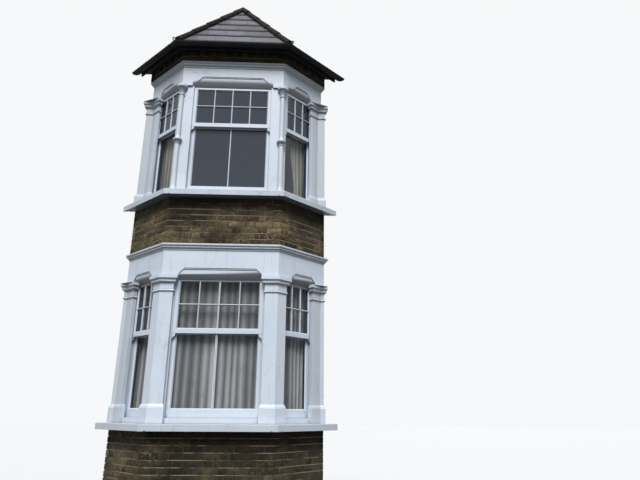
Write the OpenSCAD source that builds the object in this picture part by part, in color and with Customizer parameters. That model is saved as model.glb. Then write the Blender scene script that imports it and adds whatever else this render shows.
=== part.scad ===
// Two-storey canted bay window of a brick terraced house, in millimetres.
// Plan: a front face and two side faces canted back to the house wall.
// The offset e of a plan line is its distance out from the face of the brickwork.

/* [Plan] */
// Half the width of the front brick face, from the centre to the fold
front_half = 716; // [680:1:900]
// How far the front brick face stands out from the house wall
projection = 570; // [540:1:700]
// Angle between the front face and a canted face, in degrees
cant_angle = 44; // [42:1:48]
// Thickness of the brick walls
wall_t = 225; // [215:1:260]

/* [Heights] */
// Height of the brick plinth, from the ground to the underside of the sill
plinth_h = 1368; // [1200:1:1600]
// Thickness of the ground storey sill
ground_sill_h = 78; // [60:1:100]
// Height of the ground storey piers
ground_pier_h = 1720; // [1600:1:1900]
// Height of the ground storey frieze
ground_frieze_h = 326; // [260:1:380]
// Height of the ground storey cornice
ground_cornice_h = 79; // [70:1:110]
// Height of the brickwork between the storeys
spandrel_h = 630; // [560:1:800]
// Thickness of the upper sill
upper_sill_h = 75; // [60:1:100]
// Height of the upper storey posts and piers
upper_pier_h = 1624; // [1500:1:1800]
// Height of the upper frieze
upper_frieze_h = 286; // [250:1:360]
// Height of the upper cornice
upper_cornice_h = 85; // [75:1:110]
// Height of the brickwork above the upper cornice
eaves_wall_h = 152; // [140:1:230]
// Height of the roof, from its lower edge to its peak
roof_rise = 1203; // [1100:1:1500]

/* [Windows] */
// Distance from a front fold to the glass of the front windows
front_glass_in = 223; // [220:1:260]
// Distance from the ends of a canted face to the glass of its windows
side_glass_in = 154; // [152:1:180]
// Width of a sash stile
stile_w = 45; // [38:1:50]
// Thickness of a sash
sash_t = 40; // [35:1:45]
// Thickness of the glass
glass_t = 4; // [3:1:6]
// Height of the rails that meet at the middle of a window
meeting_rail_h = 56; // [45:1:60]
// Height of the rail at the foot of a ground storey window
ground_bottom_rail_h = 96; // [70:1:110]
// Height of the rail at the foot of an upper storey window
upper_bottom_rail_h = 74; // [60:1:110]
// Height of the rail at the head of a window
top_rail_h = 40; // [38:1:60]
// Width of a window frame's jamb
jamb_w = 35; // [25:1:35]
// Depth of a window frame, from outside to inside
frame_depth = 100; // [98:1:110]
// Height of a window frame's head
frame_head_h = 36; // [25:1:40]
// Height of a window frame's wooden sill
frame_sill_h = 62; // [50:1:70]
// Height of the glass in a ground storey upper sash
ground_top_glass_h = 586; // [500:1:650]
// Height of the glass in an upper storey upper sash
upper_top_glass_h = 525; // [450:1:600]

/* [Piers and posts] */
// Width of a ground storey pier on the front face
pier_leg = 160; // [140:1:165]
// Width of a ground storey pier on a canted face
pier_side_leg = 142; // [130:1:150]
// Depth of the return of a pier against the house wall
wall_return = 45; // [35:1:60]
// How far the ground storey window frames lie behind the brick face
ground_set_back = 50; // [45:1:60]
// How far the upper storey stonework lies behind the brick face
upper_stone_back = 38; // [20:1:45]
// How far the upper storey window frames lie behind the brick face
upper_set_back = 75; // [70:1:80]
// Width of the canted leg of an upper storey wall pier
upper_pier_leg = 140; // [120:1:150]
// How far the corner posts lie behind the brick face
post_back = 60; // [55:1:65]
// Height of a ground storey pier's pedestal
pedestal_h = 172; // [140:1:200]
// Height of an upper storey pier's pedestal
upper_pedestal_h = 125; // [100:1:150]
// How far a pedestal stands out from its shaft
pedestal_out = 22; // [10:1:30]
// How far a capital stands out from its shaft
capital_out = 46; // [30:1:50]
// Radius of a colonnette's shaft at its foot
colonnette_r = 34; // [28:1:38]

/* [Sills and cornices] */
// How far the ground storey sill stands out from the brick face
ground_sill_out = 122; // [80:1:140]
// How far the upper sill stands out from the brick face
upper_sill_out = 117; // [80:1:140]
// How far a cornice stands out from its frieze
cornice_out = 40; // [35:1:60]

/* [Window heads] */
// How far the ground storey lintel reaches down before the window frames
ground_lintel_drop = 36; // [20:1:40]
// Height of the slope cut under the ground storey lintel
ground_slope_h = 82; // [60:1:100]
// Height of the sunk band above that slope
ground_band_h = 53; // [30:1:70]
// Height of the slope cut under the upper lintel
upper_slope_h = 80; // [60:1:110]
// Height of the sunk band above that slope
upper_band_h = 67; // [50:1:80]
// Depth of the sunk bands
band_d = 10; // [6:1:16]
// How far the ground storey frames reach up behind the lintel
ground_head_lift = 22; // [10:1:40]
// How far the upper storey frames reach up behind the lintel
upper_head_lift = 40; // [25:1:80]

/* [Eaves and roof] */
// How far the slates stand out from the brick face
slate_out = 150; // [140:1:170]
// Radius of the gutter
gutter_r = 50; // [40:1:60]
// Thickness of the gutter's wall
gutter_t = 5; // [4:1:8]
// Upright thickness of the slates
slate_v = 26; // [20:1:30]
// Upright thickness of the roof boards
board_v = 36; // [30:1:36]
// Width of a rafter
rafter_w = 50; // [38:1:60]
// Upright depth of a rafter
rafter_v = 200; // [150:1:220]
// Radius of the tiles on the hips
hip_tile_r = 53; // [48:1:95]

/* [Floors] */
// How far the ground floor lies below the ground storey sill
ground_floor_drop = 768; // [600:1:900]
// How far the first floor lies below the upper sill
first_floor_drop = 441; // [350:1:460]
// Thickness of the floor boards
floor_board_t = 22; // [18:1:28]
// Depth of a floor joist
joist_h = 150; // [125:1:175]
// Width of a floor joist
joist_w = 50; // [38:1:63]
// Distance between floor joists
joist_pitch = 380; // [300:1:400]
// Thickness of a ceiling
ceiling_t = 25; // [15:1:30]

/* [Curtains] */
// Thickness of the curtain cloth as modelled
cloth_t = 6; // [4:1:8]
// Depth of a curtain's folds
fold_depth = 26; // [16:1:30]
// Distance from one fold of a curtain to the next
fold_pitch = 70; // [50:1:100]
// Thickness of a curtain track
track_h = 12; // [8:1:20]

/* [Hidden] */
$fn = 32;

// Levels
ground_sill_z = plinth_h;
ground_pier_z = ground_sill_z + ground_sill_h;
ground_frieze_z = ground_pier_z + ground_pier_h;
ground_cornice_z = ground_frieze_z + ground_frieze_h;
spandrel_z = ground_cornice_z + ground_cornice_h;
upper_sill_z = spandrel_z + spandrel_h;
upper_pier_z = upper_sill_z + upper_sill_h;
upper_frieze_z = upper_pier_z + upper_pier_h;
upper_cornice_z = upper_frieze_z + upper_frieze_h;
eaves_z = upper_cornice_z + upper_cornice_h;
wall_top_z = eaves_z + eaves_wall_h;
ground_head_z = ground_frieze_z + ground_head_lift;
upper_head_z = upper_frieze_z + upper_head_lift;
ground_floor_z = ground_sill_z - ground_floor_drop;
first_floor_z = upper_sill_z - first_floor_drop;

// Plan geometry
back_half = front_half + projection / tan(cant_angle);
gap = 1;
far = 5000;

function fold(e) = [front_half + e * tan(cant_angle / 2), -(projection + e)];
function wall_end(e) = [back_half + e / sin(cant_angle), 0];
function left(p) = [-p.x, p.y];
function at_cant(s, e) = [
  front_half + s * cos(cant_angle) + e * sin(cant_angle),
  -projection + s * sin(cant_angle) - e * cos(cant_angle)
];

// Distance along a canted face, from its front fold, to the fold before the house wall
function return_s(e) = (projection - wall_return + e * cos(cant_angle)) / sin(cant_angle);
side_centre = return_s(0) / 2;

function outline(e) = [left(wall_end(e)), left(fold(e)), fold(e), wall_end(e)];
function ring_plan(e_out, e_in) = concat(
  outline(e_out), [for (i = [3 : -1 : 0]) outline(e_in)[i]]);

front_glass_half = front_half - front_glass_in;
side_glass_half = side_centre - side_glass_in;
front_sash_half = front_glass_half + stile_w;
side_sash_half = side_glass_half + stile_w;
front_frame_half = front_sash_half + jamb_w;
side_frame_half = side_sash_half + jamb_w;
front_gap_half = front_half - pier_leg;
side_gap_half = side_centre - pier_side_leg;

// Eaves
soffit_t = 18;
soffit_top_z = wall_top_z + soffit_t;
fascia_t = 20;
fascia_drop = 42;
slate_overhang = 38;
fascia_out = slate_out - slate_overhang;
plate_h = 55;
plate_w = 75;
plate_in = 10;
eaves_lift = 24;
slate_foot_z = soffit_top_z + eaves_lift;
peak_z = slate_foot_z + roof_rise;
gutter_lift = 9;
gutter_rim_z = soffit_top_z + gutter_lift;
gutter_e = fascia_out + gutter_r;

// Irons at the feet of the hips: a strap on the end of the lowest tile and a scroll on the strap
hip = fold(slate_out);
hip_turn = atan2(hip.y, hip.x);
hip_slope = atan2(roof_rise, norm(hip));
iron_r = 30;
iron_t = 5;
iron_w = 16;
scroll_turns = 400;
scroll_step = 20;
scroll_close = 32;
scroll_up = hip_tile_r;
scroll_off = iron_r - (180 - hip_slope) / scroll_close + 0.1 * iron_t;
iron_x = scroll_off * cos(hip_slope) + scroll_up * sin(hip_slope);
iron_z = scroll_up * cos(hip_slope) - scroll_off * sin(hip_slope);
iron_reach = -hip.y - (iron_x + iron_r) * sin(hip_turn) + iron_w / 2 * cos(hip_turn);

// The whole object stands with the middle of its box over the origin
back_y = max(projection + gutter_e + gutter_r, iron_reach) / 2;

module standing() translate([0, back_y, 0]) children();
module both_sides() {
  children();
  mirror([1, 0, 0]) children();
}

// A face's own frame: x along the face, minus y outwards, z up
module on_front() translate([0, -projection, 0]) children();
module on_cant() translate([front_half, -projection, 0]) rotate([0, 0, cant_angle]) children();
module on_side_centre() on_cant() translate([side_centre, 0, 0]) children();
module slab_from(x0, x1, e_out, e_in, z0, z1)
  translate([x0, -e_out, z0]) cube([x1 - x0, e_out - e_in, z1 - z0]);
module slab(half, e_out, e_in, z0, z1) slab_from(-half, half, e_out, e_in, z0, z1);

// Everything in front of the house wall
module before_wall() translate([-far, -far, -gap]) cube([2 * far, far, 2 * far]);

module ring(e_out, e_in, z0, z1)
  translate([0, 0, z0]) linear_extrude(z1 - z0) polygon(ring_plan(e_out, e_in));

// A solid skinned over rings of points that all have as many points
module skin(rings) {
  n = len(rings[0]);
  last = len(rings) - 1;
  sides = [for (k = [0 : last - 1], i = [0 : n - 1])
    [k * n + i, k * n + (i + 1) % n, (k + 1) * n + (i + 1) % n, (k + 1) * n + i]];
  caps = [[for (i = [n - 1 : -1 : 0]) i], [for (i = [0 : n - 1]) last * n + i]];
  polyhedron([for (r = rings) each r], concat(sides, caps));
}

// A run round the three faces, from a profile drawn with x as its distance out from the brick
// face and y as its height. The profile reaches far inwards, so the three bars cut each other
// to length and mitre at the folds.
module bar() translate([-far, 0, 0]) rotate([90, 0, 90]) linear_extrude(2 * far) mirror([1, 0]) children();
module solid_run() intersection() {
  on_front() bar() children();
  on_cant() bar() children();
  mirror([1, 0, 0]) on_cant() bar() children();
  before_wall();
}
module moulding() difference() {
  solid_run() children();
  translate([0, 0, -gap]) linear_extrude(2 * far)
    polygon([left(at_cant(far, -wall_t)), left(fold(-wall_t)), fold(-wall_t), at_cant(far, -wall_t)]);
}

// A round edge of a profile: centre, radius, first and last angle
function arc(c, r, from, to, steps = 6) =
  [for (i = [0 : steps]) c + r * [cos(from + (to - from) * i / steps), sin(from + (to - from) * i / steps)]];

// Plinth, floors and ceilings
module floor_plan() polygon(outline(-wall_t));
module floor_at(top_z) {
  translate([0, 0, top_z - floor_board_t]) linear_extrude(floor_board_t) floor_plan();
  intersection() {
    translate([0, 0, top_z - floor_board_t - joist_h]) linear_extrude(joist_h) floor_plan();
    for (i = [-3 : 3]) translate([i * joist_pitch - joist_w / 2, -far, 0]) cube([joist_w, far, 2 * far]);
  }
}
module ceiling_at(bottom_z)
  translate([0, 0, bottom_z]) linear_extrude(ceiling_t) floor_plan();

module plinth_wall() color("peru") ring(0, -wall_t, 0, plinth_h);
module ground_floor() color("burlywood") floor_at(ground_floor_z);
module first_floor() color("burlywood") floor_at(first_floor_z);
module ground_ceiling() color("white")
  ceiling_at(first_floor_z - floor_board_t - joist_h - ceiling_t);
module upper_ceiling() color("white") ceiling_at(wall_top_z - ceiling_t);
module spandrel_wall() color("peru") ring(0, -wall_t, spandrel_z, upper_sill_z);

// Sills and cornices
sill_nose_r = 9;
throat_w = 14;
throat_in = 40;
function sill_profile(out, z, h) = concat(
  [[-far, z], [out - throat_in - throat_w, z], [out - throat_in - throat_w, z + throat_w / 2],
   [out - throat_in, z + throat_w / 2], [out - throat_in, z], [out, z]],
  arc([out - sill_nose_r, z + h - sill_nose_r], sill_nose_r, 0, 90, 4),
  [[-far, z + h]]);
module ground_sill() color("white") moulding()
  polygon(sill_profile(ground_sill_out, ground_sill_z, ground_sill_h));
module upper_sill() color("white") moulding()
  polygon(sill_profile(upper_sill_out, upper_sill_z, upper_sill_h));

// Points of a cornice as shares of how far it stands out and of its height: a bead, a hollow,
// a fillet and a round edge at the top
CORNICE = [[0.2, 0], [0.2, 0.13], [0.26, 0.15], [0.31, 0.24], [0.43, 0.31], [0.62, 0.35], [0.66, 0.37],
           [0.7, 0.6], [0.88, 0.64], [0.97, 0.72], [1, 0.8], [1, 1]];
function cornice_profile(face, z, h) = concat(
  [[-far, z]], [for (c = CORNICE) [face + cornice_out * c.x, z + h * c.y]], [[-far, z + h]]);
module ground_cornice() color("white")
  moulding() polygon(cornice_profile(0, ground_cornice_z, ground_cornice_h));
module upper_cornice() color("white")
  moulding() polygon(cornice_profile(-upper_stone_back, upper_cornice_z, upper_cornice_h));

// Piers: each is a folded strip in plan, swept up through a profile of [overhang, z]
// Points of the mouldings as shares of how far each stands out and of its height
PEDESTAL_TOP = [[1, 0], [0.77, 0.16], [0.73, 0.4], [0.36, 0.68], [0, 1]];
CAPITAL = [[0.09, 0], [0.41, 0.06], [0.59, 0.11], [0.65, 0.17], [0.65, 0.32], [0.68, 0.38],
           [0.76, 0.48], [0.91, 0.55], [1, 0.6], [1, 1]];
pedestal_top_h = 50;
capital_h = 94;
neck_h = 107;
neck_out = 3;
ring_r = 14;
function pier_profile(z0, z1, ped_h) = let (
  capital_z = z1 - capital_h,
  ring_z = capital_z - neck_h + ring_r
) concat(
  [[pedestal_out, z0]],
  [for (c = PEDESTAL_TOP) [pedestal_out * c.x, z0 + ped_h + pedestal_top_h * c.y]],
  arc([0, ring_z], ring_r, -90, 90),
  [[neck_out, ring_z + ring_r + neck_out]],
  [for (c = CAPITAL) [capital_out * c.x, capital_z + capital_h * c.y]]);

function front_pier_plan(o) = [
  [front_half - pier_leg - o, -(projection + o)],
  fold(o),
  at_cant(pier_side_leg + o, o),
  at_cant(pier_side_leg + o, -ground_set_back),
  at_cant(side_centre - side_frame_half, -ground_set_back),
  at_cant(side_centre - side_frame_half, -ground_set_back - frame_depth),
  [front_frame_half, -(projection - ground_set_back - frame_depth)],
  [front_frame_half, -(projection - ground_set_back)],
  [front_half - pier_leg - o, -(projection - ground_set_back)]
];
function wall_pier_plan(o, leg, face, set_back) = let (
  e = face + o,
  near = return_s(face) - leg - o,
  corner_s = (projection - wall_return - o + e * cos(cant_angle)) / sin(cant_angle),
  frame_s = side_centre + side_frame_half,
  frame_e = (frame_s * sin(cant_angle) - projection) / cos(cant_angle)
) [
  at_cant(near, e),
  at_cant(corner_s, e),
  [back_half + o, -(wall_return + o)],
  [back_half + o, 0],
  at_cant(frame_s, frame_e),
  at_cant(frame_s, -set_back),
  at_cant(near, -set_back)
];
module ground_front_pier() skin([for (p = pier_profile(ground_pier_z, ground_frieze_z, pedestal_h))
  [for (q = front_pier_plan(p.x)) [q.x, q.y, p.y]]]);
module ground_wall_pier() skin([for (p = pier_profile(ground_pier_z, ground_frieze_z, pedestal_h))
  [for (q = wall_pier_plan(p.x, pier_side_leg, 0, ground_set_back)) [q.x, q.y, p.y]]]);
module upper_wall_pier() skin([for (p = pier_profile(upper_pier_z, upper_frieze_z, upper_pedestal_h))
  [for (q = wall_pier_plan(p.x, upper_pier_leg, -upper_stone_back, upper_set_back)) [q.x, q.y, p.y]]]);

module ground_right_front_pier() color("white") ground_front_pier();
module ground_left_front_pier() color("white") mirror([1, 0, 0]) ground_front_pier();
module ground_right_wall_pier() color("white") ground_wall_pier();
module ground_left_wall_pier() color("white") mirror([1, 0, 0]) ground_wall_pier();
module upper_right_wall_pier() color("white") upper_wall_pier();
module upper_left_wall_pier() color("white") mirror([1, 0, 0]) upper_wall_pier();

// Corner posts with a turned colonnette planted on each
colonnette_back = 50;
colonnette_seat = 20;
module on_corner() translate([fold(-colonnette_back).x, fold(-colonnette_back).y, 0])
  rotate([0, 0, cant_angle / 2]) children();
function post_plan() = [
  [front_sash_half, -(projection - post_back)],
  fold(-post_back),
  at_cant(side_centre - side_sash_half, -post_back),
  at_cant(side_centre - side_sash_half, -upper_set_back),
  at_cant(side_centre - side_frame_half, -upper_set_back),
  at_cant(side_centre - side_frame_half, -upper_set_back - frame_depth),
  [front_frame_half, -(projection - upper_set_back - frame_depth)],
  [front_frame_half, -(projection - upper_set_back)],
  [front_sash_half, -(projection - upper_set_back)]
];
module corner_post() intersection() {
  translate([0, 0, upper_pier_z]) linear_extrude(upper_pier_h) polygon(post_plan());
  on_corner() translate([-far, colonnette_seat, 0]) cube([2 * far, far, 2 * far]);
}
// A turned shaft in four stretches. Each list holds [width beyond the shaft's radius, height],
// with the foot and the middle ring measured up and the capital measured down.
COLONNETTE_FOOT = [[22, 0], [22, 26], [19, 28], [23, 34], [23, 38], [18, 44], [8, 52], [1, 100], [0, 125]];
COLONNETTE_RING = [[-2, -55], [4, -51], [6, -45], [4, -39], [-2, -36], [2, -28], [26, -4], [28, 4],
                   [28, 16], [8, 26], [-1, 60], [-3, 90]];
COLONNETTE_CAPITAL = [[-4, 162], [4, 159], [6, 152], [4, 145], [-3, 142], [-1, 126], [6, 92], [20, 63],
                      [36, 46], [38, 38], [38, 17], [32, 13], [32, 0]];
ring_share = 0.472;
function turned(points, z, way) = [for (p = points) [colonnette_r + p.x, z + way * p.y]];
function colonnette_profile() = concat(
  [[0, upper_pier_z]],
  turned(COLONNETTE_FOOT, upper_pier_z, 1),
  turned(COLONNETTE_RING, upper_pier_z + ring_share * upper_pier_h, 1),
  turned(COLONNETTE_CAPITAL, upper_frieze_z, -1),
  [[0, upper_frieze_z]]);
module colonnette() intersection() {
  on_corner() rotate_extrude() polygon(colonnette_profile());
  on_corner() translate([-far, colonnette_seat - far, 0]) cube([2 * far, far, 2 * far]);
}
module right_corner_post() color("white") corner_post();
module left_corner_post() color("white") mirror([1, 0, 0]) corner_post();
module right_colonnette() color("white") colonnette();
module left_colonnette() color("white") mirror([1, 0, 0]) colonnette();

// Entablatures: a frieze that is also the lintel. Its lower edge is cut to a slope over each
// window, with a sunk band above the slope that ends in diagonal stops.
stop_w = 44;
head_clear = 1;
drip_t = 4;
ground_side_head_in = 82;
ground_side_head_past = 40;
upper_slope_past = 22;
upper_band_in = 60;
upper_side_band_in = 58;
quirk_h = 8;
bead_h = 12;
module seen_from_side() rotate([90, 0, 90]) linear_extrude(2 * far, center = true) children();
module seen_from_front() rotate([90, 0, 0]) linear_extrude(2 * far, center = true) children();
module slope_cut(x0, x1, face, foot_e, z0, slope_h) intersection() {
  seen_from_side() polygon([
    [-face - far, z0 - gap], [-face - far, z0 + slope_h], [-face, z0 + slope_h],
    [foot_e, z0], [foot_e, z0 - gap]]);
  seen_from_front() translate([x0, z0 - gap]) square([x1 - x0, slope_h + 2 * gap]);
}
// The band is sunk by band_d, with a bead between two quirks along its top
module band_cut(foot_half, face, z0, slope_h, band_h) {
  z1 = z0 + slope_h;
  z2 = z1 + band_h;
  intersection() {
    seen_from_side() polygon([
      [-face - gap, z0], [-face - gap, z2], [-face + band_d, z2], [-face + band_d, z2 - quirk_h],
      [-face + band_d / 5, z2 - quirk_h - bead_h / 4], [-face + band_d / 5, z2 - quirk_h - bead_h * 3 / 4],
      [-face + band_d, z2 - quirk_h - bead_h], [-face + band_d, z0]]);
    seen_from_front() polygon([
      [-foot_half, z0], [foot_half, z0], [foot_half, z1 - stop_w / 2],
      [foot_half - stop_w - band_h / 2, z2], [stop_w + band_h / 2 - foot_half, z2],
      [-foot_half, z1 - stop_w / 2]]);
  }
}
module frame_room(half, set_back, z0, z1) slab(half, -set_back, -far / 10, z0 - gap, z1);
ground_lintel_z = ground_frieze_z - ground_lintel_drop;
front_head_half = front_gap_half - capital_out - head_clear;
side_head_half = side_gap_half - capital_out - head_clear;
ground_side_head_x0 = ground_side_head_in - side_gap_half;
ground_side_head_x1 = side_gap_half + ground_side_head_past;
module ground_head(frame_half, x0, x1) {
  frame_room(frame_half, ground_set_back, ground_lintel_z, ground_head_z);
  slope_cut(x0, x1, 0, ground_set_back - drip_t, ground_lintel_z, ground_slope_h);
  translate([(x0 + x1) / 2, 0, 0])
    band_cut((x1 - x0) / 2, 0, ground_lintel_z, ground_slope_h, ground_band_h);
}
// The lintel comes down only before the windows, clear of the piers' capitals
module lintel_plan(x0, x1)
  translate([x0 + gap, -gap]) square([x1 - x0 - 2 * gap, 2 * ground_set_back]);
module beside_lintels() translate([0, 0, ground_lintel_z - gap])
  linear_extrude(ground_lintel_drop + gap) difference() {
    translate([-far, -far]) square([2 * far, far + gap]);
    on_front() lintel_plan(-front_head_half, front_head_half);
    both_sides() on_side_centre() lintel_plan(ground_side_head_x0, side_head_half);
  }
module upper_head(frame_half, x0, x1, band_half) {
  frame_room(frame_half, upper_set_back, upper_frieze_z, upper_head_z);
  slope_cut(x0, x1, -upper_stone_back, upper_set_back, upper_frieze_z, upper_slope_h);
  band_cut(band_half, -upper_stone_back, upper_frieze_z, upper_slope_h, upper_band_h);
}
upper_pier_side = return_s(-upper_stone_back) - upper_pier_leg - side_centre;
upper_slope_half = front_sash_half + upper_slope_past;
module ground_entablature() color("white") difference() {
  ring(0, -wall_t, ground_lintel_z, ground_cornice_z);
  beside_lintels();
  on_front() ground_head(front_frame_half, -front_head_half, front_head_half);
  both_sides() on_side_centre()
    ground_head(side_frame_half, ground_side_head_x0, ground_side_head_x1);
}
module upper_entablature() color("white") difference() {
  ring(-upper_stone_back, -wall_t, upper_frieze_z, upper_cornice_z);
  on_front()
    upper_head(front_frame_half, -upper_slope_half, upper_slope_half, front_gap_half - upper_band_in);
  both_sides() on_side_centre()
    upper_head(side_frame_half, -side_sash_half, upper_pier_side, side_gap_half - upper_side_band_in);
}

// Windows: box frames with an upper sash outside a lower sash
sash_inset = 8;
nose_out = 30;
module frame(half, nose_x0, nose_x1, set_back, z0, z1) {
  difference() {
    slab(half, -set_back, -set_back - frame_depth, z0, z1);
    slab(half - jamb_w, -set_back + gap, -set_back - frame_depth - gap, z0 + frame_sill_h, z1 - frame_head_h);
  }
  slab_from(nose_x0, nose_x1, -set_back + nose_out, -set_back, z0, z0 + frame_sill_h);
}
front_nose_half = front_gap_half - pedestal_out;
side_nose_half = side_gap_half - pedestal_out;
module sash(glass_half, e_out, z0, z1, foot_h, top_h) difference() {
  slab(glass_half + stile_w, e_out, e_out - sash_t, z0, z1);
  slab(glass_half, e_out + gap, e_out - sash_t - gap, z0 + foot_h, z1 - top_h);
}
module pane(glass_half, e_out, z0, z1)
  slab(glass_half, e_out - (sash_t - glass_t) / 2, e_out - (sash_t + glass_t) / 2, z0, z1);

ground_top_sash_z1 = ground_head_z - frame_head_h;
ground_top_sash_z0 = ground_top_sash_z1 - top_rail_h - ground_top_glass_h - meeting_rail_h;
upper_top_sash_z1 = upper_head_z - frame_head_h;
upper_top_sash_z0 = upper_top_sash_z1 - top_rail_h - upper_top_glass_h - meeting_rail_h;
ground_foot_z = ground_pier_z + frame_sill_h;
upper_foot_z = upper_pier_z + frame_sill_h;

module top_sash(glass_half, set_back, z0, z1)
  sash(glass_half, -set_back - sash_inset, z0, z1, meeting_rail_h, top_rail_h);
module bottom_sash(glass_half, set_back, z0, z1, rail_h)
  sash(glass_half, -set_back - sash_inset - sash_t, z0, z1, rail_h, meeting_rail_h);

module ground_frame(half, nose_half)
  frame(half, -nose_half, nose_half, ground_set_back, ground_pier_z, ground_head_z);
module upper_frame(half, nose_x0, nose_x1)
  frame(half, nose_x0, nose_x1, upper_set_back, upper_pier_z, upper_head_z);
module ground_front_frame() color("white") on_front() ground_frame(front_frame_half, front_nose_half);
module ground_side_frames() color("white") both_sides() intersection() {
  on_side_centre() ground_frame(side_frame_half, side_nose_half);
  before_wall();
}
module upper_front_frame() color("white")
  on_front() upper_frame(front_frame_half, -front_sash_half, front_sash_half);
module upper_side_frames() color("white") both_sides() intersection() {
  on_side_centre() upper_frame(side_frame_half, -side_sash_half, upper_pier_side - pedestal_out);
  before_wall();
}
module ground_top_sashes() color("white") {
  on_front() top_sash(front_glass_half, ground_set_back, ground_top_sash_z0, ground_top_sash_z1);
  both_sides() on_side_centre()
    top_sash(side_glass_half, ground_set_back, ground_top_sash_z0, ground_top_sash_z1);
}
module ground_bottom_sashes() color("white") {
  z1 = ground_top_sash_z0 + meeting_rail_h;
  on_front() bottom_sash(front_glass_half, ground_set_back, ground_foot_z, z1, ground_bottom_rail_h);
  both_sides() on_side_centre()
    bottom_sash(side_glass_half, ground_set_back, ground_foot_z, z1, ground_bottom_rail_h);
}
module upper_top_sashes() color("white") {
  on_front() top_sash(front_glass_half, upper_set_back, upper_top_sash_z0, upper_top_sash_z1);
  both_sides() on_side_centre()
    top_sash(side_glass_half, upper_set_back, upper_top_sash_z0, upper_top_sash_z1);
}
module upper_bottom_sashes() color("white") {
  z1 = upper_top_sash_z0 + meeting_rail_h;
  on_front() bottom_sash(front_glass_half, upper_set_back, upper_foot_z, z1, upper_bottom_rail_h);
  both_sides() on_side_centre()
    bottom_sash(side_glass_half, upper_set_back, upper_foot_z, z1, upper_bottom_rail_h);
}
module window_panes(glass_half, set_back, glass_z, sash_z0, sash_z1) {
  pane(glass_half, -set_back - sash_inset, sash_z0 + meeting_rail_h, sash_z1 - top_rail_h);
  pane(glass_half, -set_back - sash_inset - sash_t, glass_z, sash_z0);
}
module ground_glass() color("lightblue", 0.4) {
  z0 = ground_foot_z + ground_bottom_rail_h;
  on_front() window_panes(front_glass_half, ground_set_back, z0, ground_top_sash_z0, ground_top_sash_z1);
  both_sides() on_side_centre()
    window_panes(side_glass_half, ground_set_back, z0, ground_top_sash_z0, ground_top_sash_z1);
}
module upper_glass() color("lightblue", 0.4) {
  z0 = upper_foot_z + upper_bottom_rail_h;
  on_front() window_panes(front_glass_half, upper_set_back, z0, upper_top_sash_z0, upper_top_sash_z1);
  both_sides() on_side_centre()
    window_panes(side_glass_half, upper_set_back, z0, upper_top_sash_z0, upper_top_sash_z1);
}

// Curtains hang in folds just behind the window frames, each from a track under its lintel. Those
// of the side windows reach as far as the house wall.
curtain_foot_clear = 14;
curtain_clear = 2;
curtain_past = 24;
curtain_front_in = 30;
track_w = 20;
function curtain_depth(set_back) = set_back + frame_depth + (fold_depth + cloth_t) / 2 + curtain_clear;
function curtain_wall_x(depth) =
  (projection - (depth + (fold_depth + cloth_t) / 2) * cos(cant_angle)) / sin(cant_angle)
  - side_centre - curtain_clear;
ground_curtain_depth = curtain_depth(ground_set_back);
upper_curtain_depth = curtain_depth(upper_set_back);
front_curtain_half = front_glass_half + curtain_past;
side_curtain_x = curtain_front_in - side_glass_half;
function wave(u) = fold_depth / 2 * sin(360 * u / fold_pitch);
module curtain(from, to, depth, z0, z1) {
  steps = ceil((to - from) / fold_pitch * 8);
  us = [for (i = [0 : steps]) from + (to - from) * i / steps];
  translate([0, depth, z0]) linear_extrude(z1 - z0) polygon(concat(
    [for (u = us) [u, wave(u) - cloth_t / 2]],
    [for (i = [steps : -1 : 0]) [us[i], wave(us[i]) + cloth_t / 2]]));
}
module side_curtain(depth, z0, z1) both_sides() on_side_centre()
  curtain(side_curtain_x, curtain_wall_x(depth), depth, z0 + curtain_foot_clear, z1 - track_h);
module ground_curtains() color("gainsboro") {
  on_front() curtain(-front_curtain_half, front_curtain_half, ground_curtain_depth,
    ground_pier_z + curtain_foot_clear, ground_head_z - track_h);
  side_curtain(ground_curtain_depth, ground_pier_z, ground_head_z);
}
module upper_curtains() color("tan") side_curtain(upper_curtain_depth, upper_pier_z, upper_head_z);
module track(from, to, depth, z1)
  translate([from, depth - track_w / 2, z1 - track_h]) cube([to - from, track_w, track_h]);
module side_track(depth, z1) both_sides() on_side_centre()
  track(side_curtain_x, curtain_wall_x(depth), depth, z1);
module curtain_tracks() color("silver") {
  on_front() track(-front_curtain_half, front_curtain_half, ground_curtain_depth, ground_head_z);
  side_track(ground_curtain_depth, ground_head_z);
  side_track(upper_curtain_depth, upper_head_z);
}

// Eaves
dentil_pitch = 150;
dentil_w = 75;
dentil_out = 22;
dentil_h = 76;
module dentils(length) {
  count = floor(length / dentil_pitch);
  for (i = [0 : count - 1])
    translate([(i - (count - 1) / 2) * dentil_pitch - dentil_w / 2, -dentil_out, wall_top_z - dentil_h])
      cube([dentil_w, dentil_out + gap, dentil_h]);
}
module eaves_wall() color("peru") {
  ring(0, -wall_t, eaves_z, wall_top_z);
  on_front() dentils(2 * front_half);
  both_sides() on_side_centre() dentils(return_s(0) - dentil_pitch / 2);
}
module eaves_boards() color("dimgray") {
  ring(fascia_out, -wall_t, wall_top_z, soffit_top_z);
  ring(fascia_out, fascia_out - fascia_t, wall_top_z - fascia_drop, soffit_top_z);
  ring(-plate_in, -plate_in - plate_w, soffit_top_z, soffit_top_z + plate_h);
}
// A half round run, open to the sky, as a rounded run less the run behind it
module half_round(r, rim_z) difference() {
  solid_run() polygon(concat(
    [[-far, rim_z]], arc([gutter_e, gutter_rim_z], r, 0, -90, 6), [[-far, gutter_rim_z - r]]));
  solid_run() polygon(concat(
    [[-far, rim_z + gap], [gutter_e - r, rim_z + gap]],
    arc([gutter_e, gutter_rim_z], r, 180, 270, 6),
    [[gutter_e, gutter_rim_z - r - gap], [-far, gutter_rim_z - r - gap]]));
}
module gutter() color("black") difference() {
  half_round(gutter_r, gutter_rim_z);
  half_round(gutter_r - gutter_t, gutter_rim_z + gap);
}

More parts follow.
